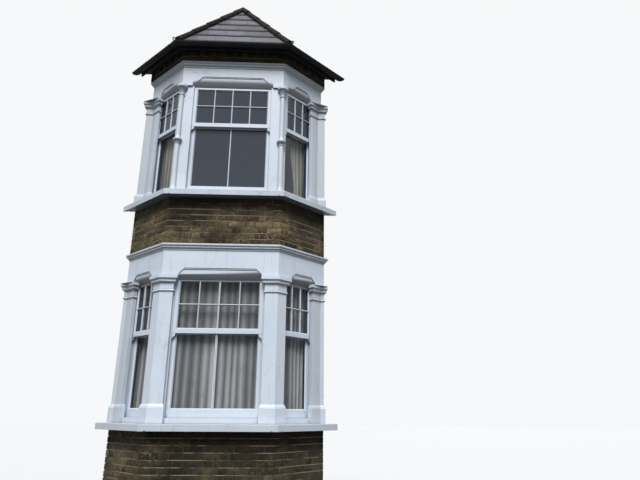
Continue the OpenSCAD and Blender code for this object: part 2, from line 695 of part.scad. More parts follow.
// Roof: half a pyramid that meets the house wall at its peak
module pyramid(drop) {
  base = [for (p = outline(slate_out)) [p.x, p.y, slate_foot_z - drop]];
  polyhedron(concat(base, [[0, 0, peak_z - drop]]),
    [[0, 1, 2, 3], [1, 0, 4], [2, 1, 4], [3, 2, 4], [0, 3, 4]]);
}
module roof_layer(from, to) difference() {
  pyramid(from);
  pyramid(to);
}
module front_sector() linear_extrude(2 * far) polygon([[0, 0], 2 * left(hip), 2 * hip]);
module side_sector() linear_extrude(2 * far) polygon([[0, 0], 2 * hip, [far, 2 * hip.y], [far, 0]]);
module front_slates() color("slategray") intersection() {
  roof_layer(0, slate_v);
  front_sector();
}
module side_slates() intersection() {
  roof_layer(0, slate_v);
  side_sector();
}
module right_slates() color("slategray") side_slates();
module left_slates() color("slategray") mirror([1, 0, 0]) side_slates();
module past(e) ring(far / 2, e, -gap, far * 2);
module roof_boards() color("burlywood") difference() {
  roof_layer(slate_v, slate_v + board_v);
  past(fascia_out);
}
module rafter_lines() {
  both_sides() {
    rotate([0, 0, hip_turn]) translate([0, -rafter_w / 2, 0]) cube([far, rafter_w, 2 * far]);
    translate([joist_pitch - rafter_w / 2, -far, 0]) cube([rafter_w, far, 2 * far]);
    on_side_centre() translate([-rafter_w / 2, -far / 2, 0]) cube([rafter_w, far, 2 * far]);
  }
  translate([-rafter_w / 2, -far, 0]) cube([rafter_w, far, 2 * far]);
  translate([-far, -rafter_w, 0]) cube([2 * far, rafter_w, 2 * far]);
}
module rafters() color("burlywood") difference() {
  intersection() {
    roof_layer(slate_v + board_v, slate_v + board_v + rafter_v);
    rafter_lines();
  }
  past(fascia_out - fascia_t);
  ring(far / 4, -wall_t - gap, 0, soffit_top_z);
  ring(-plate_in, -plate_in - plate_w, 0, soffit_top_z + plate_h);
}

// Hips: round clay tiles bedded over the line where two slopes meet. Their section is drawn
// square to the hip, from one slope over the top to the other.
function unit(v) = v / norm(v);
hip_foot = [hip.x, hip.y, slate_foot_z];
hip_run = [0, 0, peak_z] - hip_foot;
hip_dir = unit(hip_run);
hip_side = unit(cross(hip_dir, [0, 0, 1]));
hip_up = cross(hip_side, hip_dir);
front_down = unit(cross([0, -roof_rise, -hip.y], hip_dir));
side_down = unit(cross(cross(hip_dir, [cos(cant_angle), sin(cant_angle), 0]), hip_dir));
function hip_angle(v) = atan2(v * hip_up, v * hip_side);
front_turn = hip_angle(front_down) < -90 ? hip_angle(front_down) + 360 : hip_angle(front_down);
side_turn = hip_angle(side_down);
module hip_tile_run() multmatrix([
  [hip_side.x, hip_up.x, hip_dir.x, hip_foot.x],
  [hip_side.y, hip_up.y, hip_dir.y, hip_foot.y],
  [hip_side.z, hip_up.z, hip_dir.z, hip_foot.z]
]) linear_extrude(norm(hip_run) + hip_tile_r)
  polygon(concat([[0, 0]], arc([0, 0], hip_tile_r, side_turn, front_turn, 10)));
module hip_tiles() color("sienna") intersection() {
  both_sides() hip_tile_run();
  before_wall();
}

// A strap on the end of the lowest tile, with a scroll, drawn side on
module scroll() polygon(concat(
  [for (t = [0 : scroll_step : scroll_turns]) (iron_r - t / scroll_close) * [cos(t), sin(t)]],
  [for (t = [scroll_turns : -scroll_step : 0]) (iron_r - iron_t - t / scroll_close) * [cos(t), sin(t)]]));
module hip_irons() color("dimgray") both_sides()
  translate(hip_foot) rotate([0, 0, hip_turn]) rotate([90, 0, 0]) linear_extrude(iron_w, center = true) {
    translate([iron_x, iron_z]) scroll();
    rotate(-hip_slope) square([iron_t, scroll_up]);
  }

standing() plinth_wall();
standing() ground_floor();
standing() ground_sill();
standing() ground_left_front_pier();
standing() ground_right_front_pier();
standing() ground_left_wall_pier();
standing() ground_right_wall_pier();
standing() ground_entablature();
standing() ground_cornice();
standing() ground_front_frame();
standing() ground_side_frames();
standing() ground_top_sashes();
standing() ground_bottom_sashes();
standing() ground_glass();
standing() ground_curtains();
standing() ground_ceiling();
standing() spandrel_wall();
standing() first_floor();
standing() upper_sill();
standing() upper_left_wall_pier();
standing() upper_right_wall_pier();
standing() left_corner_post();
standing() right_corner_post();
standing() left_colonnette();
standing() right_colonnette();
standing() upper_entablature();
standing() upper_cornice();
standing() upper_front_frame();
standing() upper_side_frames();
standing() upper_top_sashes();
standing() upper_bottom_sashes();
standing() upper_glass();
standing() upper_curtains();
standing() curtain_tracks();
standing() upper_ceiling();
standing() eaves_wall();
standing() eaves_boards();
standing() gutter();
standing() rafters();
standing() roof_boards();
standing() front_slates();
standing() left_slates();
standing() right_slates();
standing() hip_tiles();
standing() hip_irons();
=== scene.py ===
# Dresses the two-storey canted bay window: brickwork, paint, glazing bars, curtains, slates, hip tiles
# and ironwork. Lengths are in metres.
import bpy
import bmesh
import math
import random
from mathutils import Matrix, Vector, noise


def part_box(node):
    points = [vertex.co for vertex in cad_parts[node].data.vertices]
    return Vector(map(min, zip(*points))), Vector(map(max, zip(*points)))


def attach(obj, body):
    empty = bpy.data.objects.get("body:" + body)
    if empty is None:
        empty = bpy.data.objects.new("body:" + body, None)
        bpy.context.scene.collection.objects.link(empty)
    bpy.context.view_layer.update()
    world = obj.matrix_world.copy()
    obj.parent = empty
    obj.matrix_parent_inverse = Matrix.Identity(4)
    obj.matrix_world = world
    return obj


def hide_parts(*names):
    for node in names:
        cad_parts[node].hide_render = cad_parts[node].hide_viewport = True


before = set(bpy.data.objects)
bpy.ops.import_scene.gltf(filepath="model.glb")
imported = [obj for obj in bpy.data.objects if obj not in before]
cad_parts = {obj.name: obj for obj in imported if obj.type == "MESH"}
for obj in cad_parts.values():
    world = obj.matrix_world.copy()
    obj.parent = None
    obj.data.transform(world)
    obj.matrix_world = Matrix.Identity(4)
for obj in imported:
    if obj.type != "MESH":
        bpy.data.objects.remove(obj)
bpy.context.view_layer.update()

# The plan of the bay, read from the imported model. A distance e is how far a line stands out from
# the brick face, and a depth is how far it lies behind that face.
CANT = math.radians(44)
COS, SIN = math.cos(CANT), math.sin(CANT)
WALL_T = 0.225
WALL_RETURN = 0.045
plinth_low, plinth_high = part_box("plinth_wall")
WALL_Y = plinth_high.y
PROJECTION = WALL_Y - plinth_low.y
FRONT_HALF = plinth_high.x - PROJECTION / math.tan(CANT)
BACK_HALF = plinth_high.x

# Windows: half widths of the glass, depths of the frames and the parts of a sash
FRONT_GLASS_IN = 0.223
SIDE_GLASS_IN = 0.154
FRONT_GLASS = FRONT_HALF - FRONT_GLASS_IN
SIDE_CENTRE = (PROJECTION - WALL_RETURN) / SIN / 2
SIDE_GLASS = SIDE_CENTRE - SIDE_GLASS_IN
SASH_T = 0.040
SASH_INSET = 0.008
STILE_W = 0.045
MEETING_RAIL = 0.056
BOTTOM_RAIL = {"ground": 0.096, "upper": 0.074}
TOP_RAIL = 0.040
SET_BACK = {"ground": 0.050, "upper": 0.075}

# Roof: how far the slates stand out, their thickness measured upright, and the heights of foot and peak
SLATE_OUT = 0.150
SLATE_UPRIGHT_T = 0.026
slates_low, slates_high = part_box("front_slates")
SLATE_FOOT_Z = slates_low.z + SLATE_UPRIGHT_T
PEAK = Vector((0, WALL_Y, slates_high.z))


def fold(e):
    return Vector((FRONT_HALF + e * math.tan(CANT / 2), WALL_Y - PROJECTION - e))


def wall_end(e):
    return Vector((BACK_HALF + e / SIN, WALL_Y))


def mirrored(p):
    return Vector((-p.x, *p[1:]))


class Face:
    """One face of the bay: x runs along it from its middle, left to right as seen from outside."""

    def __init__(self, origin, along, outwards):
        self.origin = Vector(origin)
        self.along = Vector(along)
        self.outwards = Vector(outwards)

    def at(self, x, depth, z):
        flat = self.origin + self.along * x - self.outwards * depth
        return Vector((flat.x, flat.y, z))


side_middle = fold(0) + Vector((COS, SIN)) * SIDE_CENTRE
FRONT = Face((0, WALL_Y - PROJECTION), (1, 0), (0, -1))
RIGHT = Face(side_middle, (COS, SIN), (SIN, -COS))
LEFT = Face(mirrored(side_middle), (COS, -SIN), (-SIN, -COS))
FACES = {"front": FRONT, "left": LEFT, "right": RIGHT}


class Skin:
    """A wall's surface unrolled: u runs round the three faces from the left end to the right one."""

    def __init__(self, e, facing):
        self.e = e
        self.facing = facing
        corners = self.corners(0)
        self.folds = [0.0]
        for a, b in zip(corners, corners[1:]):
            self.folds.append(self.folds[-1] + (b - a).length)

    def corners(self, depth):
        e = self.e - self.facing * depth
        return [mirrored(wall_end(e)), mirrored(fold(e)), fold(e), wall_end(e)]

    def at(self, u, depth, z):
        corners = self.corners(depth)
        for i, stop in enumerate(self.folds):
            if abs(u - stop) < 1e-5:
                return Vector((corners[i].x, corners[i].y, z))
        i = sum(u > stop for stop in self.folds[1:-1])
        a, b = self.corners(0)[i : i + 2]
        along = (b - a).normalized()
        inwards = Vector((-along.y, along.x)) * self.facing
        flat = a + along * (u - self.folds[i]) + inwards * depth
        return Vector((flat.x, min(flat.y, WALL_Y), z))


OUTSIDE = Skin(0.0, 1)
INSIDE = Skin(-WALL_T, -1)


def upright(x, z, inset):
    """The corners of an upright rectangle, drawn in by an inset, as pairs of x and z."""
    low, high = z[0] + inset, z[1] - inset
    return [(x[0] + inset, low), (x[1] - inset, low), (x[1] - inset, high), (x[0] + inset, high)]


PLAIN = (0.5, 0.5, 0.5)
# Edges that turn by at least so many degrees are rounded on the pieces made here, and on the CAD nodes
ROUND_FROM = 30
SHARP_FROM = 38


class Work:
    """Gathers the points and faces of one piece, with three shade numbers for each point."""

    def __init__(self):
        self.points = []
        self.shades = []
        self.faces = []
        self.slots = []

    def point(self, place, shade=PLAIN):
        self.points.append(tuple(place))
        self.shades.append((*shade, 1.0))
        return len(self.points) - 1

    def face(self, corners, slot=0):
        self.faces.append(corners)
        self.slots.append(slot)

    def grid(self, rows, slot=0, closed=False):
        """Quads between rows of point numbers."""
        for low, high in zip(rows, rows[1:]):
            last = len(low) if closed else len(low) - 1
            for i in range(last):
                j = (i + 1) % len(low)
                self.face((low[i], low[j], high[j], high[i]), slot)

    def solid(self, loops, shade=PLAIN, slot=0):
        """A closed solid through loops of places that all have as many points."""
        rows = [[self.point(p, shade) for p in loop] for loop in loops]
        self.grid(rows, slot, closed=True)
        self.face(tuple(reversed(rows[0])), slot)
        self.face(tuple(rows[-1]), slot)

    def piece(self, name, materials, slot, smooth=35, bevel=None, stands_for=()):
        mesh = bpy.data.meshes.new(name)
        mesh.from_pydata(self.points, [], self.faces)
        shade = mesh.color_attributes.new("shade", "FLOAT_COLOR", "POINT")
        shade.data.foreach_set("color", [v for s in self.shades for v in s])
        for material in materials:
            mesh.materials.append(material)
        mesh.polygons.foreach_set("material_index", self.slots)
        b = bmesh.new()
        b.from_mesh(mesh)
        bmesh.ops.recalc_face_normals(b, faces=b.faces)
        b.to_mesh(mesh)
        b.free()
        mesh.shade_smooth()
        mesh.set_sharp_from_angle(angle=math.radians(smooth))
        made = bpy.data.objects.new(name, mesh)
        bpy.context.collection.objects.link(made)
        if bevel:
            round_edges(made, bevel, ROUND_FROM).harden_normals = True
        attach(made, "root")
        if stands_for:
            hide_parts(*stands_for)
        return made


def round_edges(made, width, least_angle):
    rounding = made.modifiers.new("rounded edges", "BEVEL")
    rounding.width = width
    rounding.segments = 2
    rounding.limit_method = "ANGLE"
    rounding.angle_limit = math.radians(least_angle)
    return rounding


# Finishes
def arithmetic(operation, swapped=False):
    """A method of Shade that joins it with another value in one Math node."""
    def joined(self, other):
        return self.math(operation, other, self) if swapped else self.math(operation, self, other)

    return joined


class Shade:
    """A number or colour that comes out of a shader node. Arithmetic on it adds Math nodes."""

    def __init__(self, nodes, socket):
        self.nodes = nodes
        self.socket = socket

    def math(self, operation, *values):
        return self.nodes.node("ShaderNodeMath", {"operation": operation}, dict(enumerate(values)))

    __add__ = arithmetic("ADD")
    __radd__ = arithmetic("ADD", swapped=True)
    __sub__ = arithmetic("SUBTRACT")
    __rsub__ = arithmetic("SUBTRACT", swapped=True)
    __mul__ = arithmetic("MULTIPLY")
    __rmul__ = arithmetic("MULTIPLY", swapped=True)
    __truediv__ = arithmetic("DIVIDE")
    or_more = arithmetic("MAXIMUM")
    or_less = arithmetic("MINIMUM")

    def fraction(self):
        return self.math("FRACT", self)

    def size(self):
        return self.math("ABSOLUTE", self)


class Nodes:
    """Adds nodes to a node tree. What a node gives is a Shade."""

    def __init__(self, tree):
        self.tree = tree

    def node(self, kind, settings=None, sockets=None, output=0):
        made = self.tree.nodes.new(kind)
        for key, value in (settings or {}).items():
            if key == "stops":
                self.set_stops(made.color_ramp, value)
            else:
                setattr(made, key, value)
        for key, value in (sockets or {}).items():
            if isinstance(value, Shade):
                self.tree.links.new(value.socket, made.inputs[key])
            else:
                made.inputs[key].default_value = value
        return Shade(self, made.outputs[output])

    def set_stops(self, ramp, stops):
        while len(ramp.elements) < len(stops):
            ramp.elements.new(0.5)
        for element, (position, colour) in zip(ramp.elements, stops):
            element.position = position
            element.color = (*colour, 1)

    def parts(self, vector, kind="ShaderNodeSeparateXYZ"):
        split = self.node(kind, sockets={0: vector}).socket.node
        return [Shade(self, split.outputs[i]) for i in range(3)]

    def ramp(self, value, stops):
        return self.node("ShaderNodeValToRGB", {"stops": stops}, {0: value})

    def seen_directly(self):
        """1 for rays that show the background itself: straight from the camera, mirrored or through glass."""
        camera, mirror, glass = [self.node("ShaderNodeLightPath", output=f"Is {ray} Ray")
                                 for ray in ("Camera", "Glossy", "Transmission")]
        return camera.or_more(mirror).or_more(glass)


class Finish(Nodes):
    """A material made of nodes round one Principled shader."""

    def __init__(self, name, **constants):
        self.material = bpy.data.materials.new(name)
        self.material.use_nodes = True
        super().__init__(self.material.node_tree)
        self.shader = self.tree.nodes["Principled BSDF"]
        for key, value in constants.items():
            self.shader.inputs[key.replace("_", " ").title().replace("Ior", "IOR")].default_value = value
        self.place = self.node("ShaderNodeTexCoord", output="Object")
        self.x, self.y, self.z = self.parts(self.place)

    def stretched(self, x, y, z):
        return self.node("ShaderNodeVectorMath", {"operation": "MULTIPLY"}, {0: self.place, 1: (x, y, z)})

    def grain(self, scale, detail=4.0, roughness=0.5, vector=None):
        return self.node("ShaderNodeTexNoise", sockets={
            "Vector": vector or self.place, "Scale": scale, "Detail": detail, "Roughness": roughness})

    def cracks(self, scale):
        """The distance from cracks that wander round cells."""
        clouds = self.node("ShaderNodeTexNoise", sockets={"Scale": 6.0, "Detail": 4.0}, output="Color")
        return self.node("ShaderNodeTexVoronoi", {"feature": "DISTANCE_TO_EDGE"},
                         {"Vector": self.mix(0.12, self.place, clouds), "Scale": scale})

    def ease(self, value, low, high):
        """0 at low and 1 at high, with a soft start and end."""
        return self.node("ShaderNodeMapRange", {"interpolation_type": "SMOOTHSTEP"},
                         {"Value": value, "From Min": low, "From Max": high, "To Min": 0.0, "To Max": 1.0})

    def mix(self, share, a, b, how="MIX"):
        a, b = [(*c, 1) if isinstance(c, tuple) else c for c in (a, b)]
        return self.node("ShaderNodeMix", {"data_type": "RGBA", "blend_type": how},
                         {0: share, 6: a, 7: b}, output=2)

    def times(self, colour, value):
        """A colour multiplied by a number."""
        grey = self.node("ShaderNodeCombineColor", sockets={0: value, 1: value, 2: value})
        return self.mix(1.0, colour, grey, "MULTIPLY")

    def shade(self):
        """The three shade numbers that the mesh carries."""
        colour = self.node("ShaderNodeAttribute", {"attribute_name": "shade"}, output="Color")
        return self.parts(colour, "ShaderNodeSeparateColor")

    def facing_up(self):
        return self.parts(self.node("ShaderNodeNewGeometry", output="Normal"))[2]

    def bump(self, height, distance, strength=1.0):
        return self.node("ShaderNodeBump", sockets={
            "Height": height, "Distance": distance, "Strength": strength})

    def use(self, **sockets):
        for key, value in sockets.items():
            self.tree.links.new(value.socket, self.shader.inputs[key.replace("_", " ").title()])
        return self.material


def scaled(colour, share):
    return tuple(share * c for c in colour)


def white_paint(name, tint, grime, coarse, shade_below, shade_near_wall):
    """Old white gloss or masonry paint with brush lines, rain streaks, dusty ledges and hair cracks. Painted
    shade darkens its undersides, its creases and the parts near the house wall.
    """
    f = Finish(name, roughness=0.42)
    broad = f.grain(1.7, 5.0, 0.6)
    brush = f.grain(9.0, 5.0, 0.6, f.stretched(9.0, 9.0, 0.7))
    rain = f.grain(5.0, 4.0, 0.55, f.stretched(6.0, 6.0, 0.45))
    coat = f.ramp(broad, [(0.3, scaled(tint, 0.90)), (0.7, tint)])
    coat = f.mix(f.ease(rain, 0.52, 0.80) * 0.30 * grime, coat, (0.30, 0.31, 0.30))
    ledges = f.ease(f.facing_up(), 0.55, 0.95) * f.ease(f.grain(14.0, 6.0, 0.7), 0.30, 0.66)
    coat = f.mix(ledges * 0.45 * grime, coat, (0.20, 0.195, 0.17))
    spots = f.ease(f.grain(42.0, 5.0, 0.65), 0.64, 0.74) * f.ease(f.grain(3.0, 3.0), 0.45, 0.65)
    coat = f.mix(spots * 0.30 * grime, coat, (0.23, 0.22, 0.20))
    lines = (1 - f.ease(f.cracks(3.1), 0.0015, 0.007)) * f.ease(f.grain(1.3, 2.0), 0.50, 0.60)
    coat = f.mix(lines * 0.22 * grime, coat, (0.16, 0.155, 0.15))
    # Painted shade: faces that look down are darkened as if in shadow.
    undersides = f.ease(0 - f.facing_up(), 0.04, 0.24)
    coat = f.mix(undersides * shade_below, coat, (0.085, 0.086, 0.090))
    # Painted shade near the house wall, stronger higher up.
    near_wall = f.ease(f.x.size(), 1.06, 1.22) * (0.65 + 0.35 * f.ease(f.z, 3.20, 4.30))
    coat = f.mix(near_wall * shade_near_wall, coat, (0.33, 0.345, 0.36))
    # Painted shade in creases and recesses, where little of the surroundings is open.
    openness = f.node("ShaderNodeAmbientOcclusion", {"samples": 6}, {"Distance": 0.045}, output="AO")
    coat = f.mix((1 - f.ease(openness, 0.30, 0.85)) * 0.50, coat, (0.120, 0.118, 0.115))
    height = brush * 0.5 + f.grain(95.0, 4.0, 0.6) * coarse - lines * 1.2
    return f.use(base_color=coat, roughness=0.34 + 0.22 * broad + ledges * 0.25,
                 normal=f.bump(height, 0.0012))


def soot_and_painted_shade(f):
    """How dark the bricks and mortar are made: patchy soot a little all over, and painted shade most under
    the eaves and the sills, and more on the front and the right than on the left, as if lit from the left.
    """
    # Painted shadow under the eaves.
    under_eaves = f.ease(f.z, 6.16, 6.22)
    # Under the sills: painted shade, with some soot.
    under_upper_sill = f.ease(f.z, 3.90, 4.24) * (1 - f.ease(f.z, 4.30, 4.40))
    under_ground_sill = f.ease(f.z, 0.95, 1.37) * (1 - f.ease(f.z, 1.45, 1.55))
    # Painted light and shade by face: the front and the right darker, the left lighter.
    on_front = 1 - f.ease(f.x.size(), 0.60, 0.80)
    on_right = f.ease(f.x, 0.45, 0.95)
    on_left = f.ease(0 - f.x, 0.60, 0.95)
    patchy = 0.25 + 0.50 * f.ease(f.grain(1.9, 4.0, 0.6), 0.36, 0.62)
    gathered = patchy + 0.13 * on_front + 0.34 * under_upper_sill + 0.32 * under_ground_sill
    gathered = gathered + 0.12 * on_right - 0.34 * on_left
    return gathered.or_more(0.80 * under_eaves).or_less(0.9)


def stock_brick():
    """Yellow stock bricks, each fired a little differently, with black specks, pits and soot, and painted
    shade under the eaves and the sills.
    """
    f = Finish("yellow stock brick", roughness=0.9, specular_ior_level=0.12)
    kind, light, wear = f.shade()
    body = f.ramp(kind, [
        (0.0, (0.032, 0.023, 0.015)), (0.20, (0.096, 0.064, 0.035)), (0.45, (0.185, 0.133, 0.066)),
        (0.70, (0.275, 0.208, 0.104)), (0.88, (0.380, 0.300, 0.160)), (1.0, (0.160, 0.075, 0.044))])
    mottle = f.grain(34.0, 6.0, 0.65)
    body = f.times(body, 0.62 + 0.42 * light + 1.1 * (mottle - 0.5))
    pale = f.ease(f.grain(27.0, 6.0, 0.8), 0.52, 0.61)
    body = f.mix(pale * 0.66, body, (0.56, 0.44, 0.245))
    burnt = f.ease(f.grain(38.0, 6.0, 0.75), 0.53, 0.62)
    body = f.mix(burnt * 0.62, body, (0.030, 0.024, 0.018))
    specks = f.ease(f.grain(150.0, 3.0, 0.6), 0.62, 0.70)
    body = f.mix(specks * 0.7, body, (0.020, 0.018, 0.017))
    soot = f.ease(f.grain(2.3, 5.0, 0.62), 0.44, 0.68)
    body = f.mix(soot * (0.30 + 0.45 * wear), body, (0.034, 0.031, 0.026))
    damp = (1 - f.ease(f.z, 0.70, 1.50)) * f.ease(f.grain(3.0, 4.0), 0.20, 0.50)
    body = f.mix(damp * 0.68, body, (0.034, 0.036, 0.018))
    # Soot, with painted shade and light laid over it.
    body = f.mix(soot_and_painted_shade(f), body, (0.012, 0.011, 0.009))
    pits = f.ease(f.grain(88.0, 5.0, 0.7), 0.36, 0.56)
    height = pits * 0.8 + f.grain(240.0, 3.0) * 0.5 + mottle * 0.6
    return f.use(base_color=body, roughness=0.80 + 0.18 * mottle, normal=f.bump(height, 0.0022))


def lime_mortar():
    """Sooty lime mortar, with the same painted shade as the bricks, and pale pointing left in stretches of
    the level joints.
    """
    f = Finish("lime mortar", roughness=0.95, specular_ior_level=0.10)
    level_joint = f.shade()[0]
    sand = f.grain(260.0, 4.0, 0.7)
    patches = f.grain(5.0, 5.0, 0.65)
    body = f.ramp(patches, [
        (0.30, (0.060, 0.051, 0.037)), (0.55, (0.100, 0.086, 0.062)), (0.75, (0.150, 0.132, 0.100))])
    body = f.mix(0.75 * soot_and_painted_shade(f), body, (0.016, 0.015, 0.012))
    left_in = f.ease(f.grain(2.6, 5.0, 0.7, f.stretched(1.0, 1.0, 3.5)), 0.42, 0.56)
    body = f.mix(level_joint * left_in * 0.85, body, (0.285, 0.250, 0.175))
    return f.use(base_color=f.times(body, 0.70 + 0.6 * sand), normal=f.bump(sand * 0.7 + patches, 0.0020))


def wall_plaster():
    """Plaster with trowel marks, a cream coat of paint and a few stains."""
    f = Finish("painted plaster", roughness=0.7, specular_ior_level=0.25)
    trowel = f.grain(4.0, 6.0, 0.6)
    fine = f.grain(120.0, 3.0)
    body = f.ramp(trowel, [(0.3, (0.50, 0.475, 0.42)), (0.7, (0.585, 0.56, 0.505))])
    stains = f.ease(f.grain(1.6, 5.0, 0.7), 0.60, 0.75)
    body = f.mix(stains * 0.3, body, (0.36, 0.31, 0.24))
    return f.use(base_color=body, roughness=0.62 + 0.2 * fine, normal=f.bump(trowel + fine * 0.15, 0.0020))


BOARD_W = 0.14


def sawn_pine(name, seams):
    """Softwood with its grain along x. Boards have a seam between them across y."""
    f = Finish(name, roughness=0.75, specular_ior_level=0.25)
    rings = f.grain(7.0, 6.0, 0.62, f.stretched(1.2, 14.0, 14.0))
    fibre = f.grain(60.0, 3.0, 0.6, f.stretched(0.6, 10.0, 10.0))
    body = f.ramp(rings, [
        (0.30, (0.135, 0.078, 0.038)), (0.50, (0.245, 0.155, 0.080)), (0.72, (0.330, 0.225, 0.125))])
    body = f.mix(f.ease(f.grain(2.0, 4.0), 0.45, 0.7) * 0.45, body, (0.105, 0.083, 0.062))
    height = rings * 0.5 + fibre * 0.5
    if seams:
        from_middle = ((f.y / BOARD_W).fraction() - 0.5).size()
        gap = f.ease(from_middle, 0.484, 0.494)
        body = f.mix(gap * 0.9, body, (0.020, 0.014, 0.009))
        height = height - gap * 3
    return f.use(base_color=body, roughness=0.62 + 0.25 * fibre, normal=f.bump(height, 0.0015))


def black_paint(name, rust, gloss):
    """Black oil paint, chalky where the weather gets at it, with rust coming through on iron."""
    f = Finish(name, roughness=gloss, specular_ior_level=0.10)
    chalk = f.grain(6.0, 6.0, 0.65)
    body = f.ramp(chalk, [(0.35, (0.004, 0.0045, 0.0055)), (0.75, (0.012, 0.013, 0.015))])
    grain = f.grain(30.0, 4.0, 0.6, f.stretched(0.4, 0.4, 9.0))
    eaten = f.ease(f.grain(17.0, 7.0, 0.72), 0.60, 0.70) * rust
    body = f.mix(eaten, body, (0.060, 0.026, 0.014))
    height = grain * (1 - rust) + f.grain(70.0, 5.0, 0.6) * 0.4 + eaten * 0.8
    return f.use(base_color=body, roughness=gloss + 0.3 * chalk + 0.3 * eaten, normal=f.bump(height, 0.0012))


def riven_slate():
    """Split slate with shallow steps in its face, lichen, and a painted shadow line along its tail."""
    f = Finish("blue grey slate", roughness=0.55, specular_ior_level=0.25)
    tone, light, up_the_slate = f.shade()
    body = f.ramp(tone, [
        (0.0, (0.092, 0.094, 0.108)), (0.5, (0.122, 0.120, 0.140)), (1.0, (0.158, 0.152, 0.178))])
    riven = f.grain(16.0, 7.0, 0.6, f.stretched(1.0, 0.5, 0.5))
    body = f.times(body, 0.82 + 0.18 * light + 0.4 * (riven - 0.5))
    lichen = f.ease(f.grain(24.0, 6.0, 0.7), 0.62, 0.70) * f.ease(f.grain(2.1, 3.0), 0.40, 0.60)
    body = f.mix(lichen * 0.6, body, (0.230, 0.235, 0.200))
    rain = f.ease(f.grain(8.0, 4.0, 0.6, f.stretched(3.0, 3.0, 0.5)), 0.50, 0.72)
    body = f.mix(rain * 0.22, body, (0.070, 0.072, 0.074))
    levels = [(0.0, 0.0), (0.42, 0.2), (0.46, 0.5), (0.6, 0.55), (0.64, 0.85), (1.0, 1.0)]
    steps = f.ramp(riven, [(place, (level, level, level)) for place, level in levels])
    step_height = f.parts(steps, "ShaderNodeSeparateColor")[0]
    # Painted shadow: a dark strip along the tail, where the shadow lines between the courses fall.
    tail = 1 - f.ease(up_the_slate, 0.105, 0.240 + 0.220 * f.grain(9.0, 4.0))
    body = f.mix(tail * 0.95, body, (0.012, 0.012, 0.014))
    return f.use(base_color=body, roughness=0.40 + 0.3 * riven + 0.2 * lichen,
                 normal=f.bump(step_height + riven * 0.4, 0.0020))


def clay_tile():
    """Red-brown hip tiles gone dark with soot and moss."""
    f = Finish("weathered clay tile", roughness=0.9, specular_ior_level=0.15)
    tone, light, age = f.shade()
    body = f.ramp(tone, [
        (0.0, (0.016, 0.012, 0.011)), (0.5, (0.029, 0.019, 0.017)), (1.0, (0.046, 0.034, 0.035))])
    cloud = f.grain(13.0, 7.0, 0.68)
    body = f.times(body, 0.55 + 0.5 * light + 0.7 * (cloud - 0.4))
    soot = f.ease(f.grain(7.0, 6.0, 0.66), 0.44, 0.64)
    body = f.mix(soot * 0.70, body, (0.016, 0.014, 0.013))
    moss = f.ease(f.grain(31.0, 6.0, 0.7), 0.57, 0.66) * (0.4 + 0.6 * age)
    body = f.mix(moss * 0.6, body, (0.042, 0.046, 0.024))
    height = cloud + moss * 1.6 + f.grain(130.0, 4.0) * 0.5
    return f.use(base_color=body, roughness=0.78 + 0.2 * cloud, normal=f.bump(height, 0.0030))


def curtain_cloth(name, tint, weave):
    """Woven cloth with painted shade in its folds, and dusty at the hem."""
    f = Finish(name, roughness=0.9, specular_ior_level=0.2, sheen_weight=0.15, sheen_roughness=0.5)
    warp = f.grain(90.0, 2.0, 0.5, f.stretched(14.0, 14.0, 0.5))
    weft = f.grain(90.0, 2.0, 0.5, f.stretched(0.8, 0.8, 14.0))
    threads = warp * 0.5 + weft * 0.5
    fold_shade, hem, low = f.shade()
    body = f.ramp(f.grain(1.8, 4.0, 0.6), [(0.3, scaled(tint, 0.80)), (0.7, tint)])
    body = f.times(body, 0.26 + 0.74 * f.ease(fold_shade, 0.08, 0.85))
    body = f.times(body, 0.86 + 0.28 * threads)
    body = f.mix(f.ease(low, 0.86, 1.0) * 0.25 + hem * 0.15, body, scaled(tint, 0.55))
    return f.use(base_color=body, roughness=0.8 + 0.15 * threads, normal=f.bump(threads, weave))


def window_glass(name, tint, clear, clear_where):
    """Old drawn glass, slightly wavy. Where the room behind would show, it is nearly opaque and dark: painted
    shade of the room.
    """
    f = Finish(name, roughness=0.04, ior=1.5)
    ripple = f.grain(3.2, 2.0, 0.4, f.stretched(1.0, 1.0, 0.45))
    dust = f.ease(f.grain(11.0, 6.0, 0.7, f.stretched(1.0, 1.0, 0.6)), 0.52, 0.76)
    body = f.mix(dust * 0.20, tint, scaled(tint, 1.6))
    # Where it isn't clear, the dark tint stands opaque: painted shade.
    through = clear_where(f) * clear
    return f.use(base_color=body, roughness=0.03 + 0.10 * dust, alpha=1 - through * (1 - dust * 0.08),
                 normal=f.bump(ripple, 0.004, 0.35))


def before_curtain(f, left_end, right_end, meeting_z):
    """1 where a curtain hangs behind the glass, and 0 near the wall, where the glass is made dark as painted
    shade of the room.
    """
    upper_sash = 0.022 * f.ease(f.z, meeting_z, meeting_z + 0.05)
    past_left = f.ease(upper_sash - f.x, left_end - 0.008, left_end + 0.004)
    past_right = f.ease(f.x, right_end - 0.008, right_end + 0.004)
    return 1 - past_left.or_more(past_right)


def ground_clear(f):
    # Painted shade: the top panes are a little darker, and the glass near the wall is dark.
    return (1 - 0.10 * f.ease(f.z, 2.40, 2.60)) * before_curtain(f, 1.018, 1.046, 2.36)


def upper_clear(f):
    """Clear on the side windows, but for a dark wedge beside the right curtain, which is drawn back. There,
    on the front window and over most of the top panes, the dark glass is painted shade of the room.
    """
    drawn_back = 0.06 * (1 - f.ease(f.z, 4.45, 5.20))
    right = f.ease(f.x - drawn_back, FRONT_HALF + 0.080, FRONT_HALF + 0.100)
    sides = right.or_more(f.ease(0 - f.x, FRONT_HALF, FRONT_HALF + 0.06))
    return sides * (1 - 0.75 * f.ease(f.z, 5.25, 5.35)) * before_curtain(f, 0.996, 1.011, 5.22)


def track_metal():
    f = Finish("curtain track", roughness=0.35, metallic=1.0)
    drawn = f.grain(50.0, 3.0, 0.6, f.stretched(0.3, 6.0, 6.0))
    body = f.ramp(drawn, [(0.3, (0.42, 0.42, 0.41)), (0.7, (0.60, 0.60, 0.59))])
    return f.use(base_color=body, roughness=0.28 + 0.3 * drawn, normal=f.bump(drawn, 0.0004))


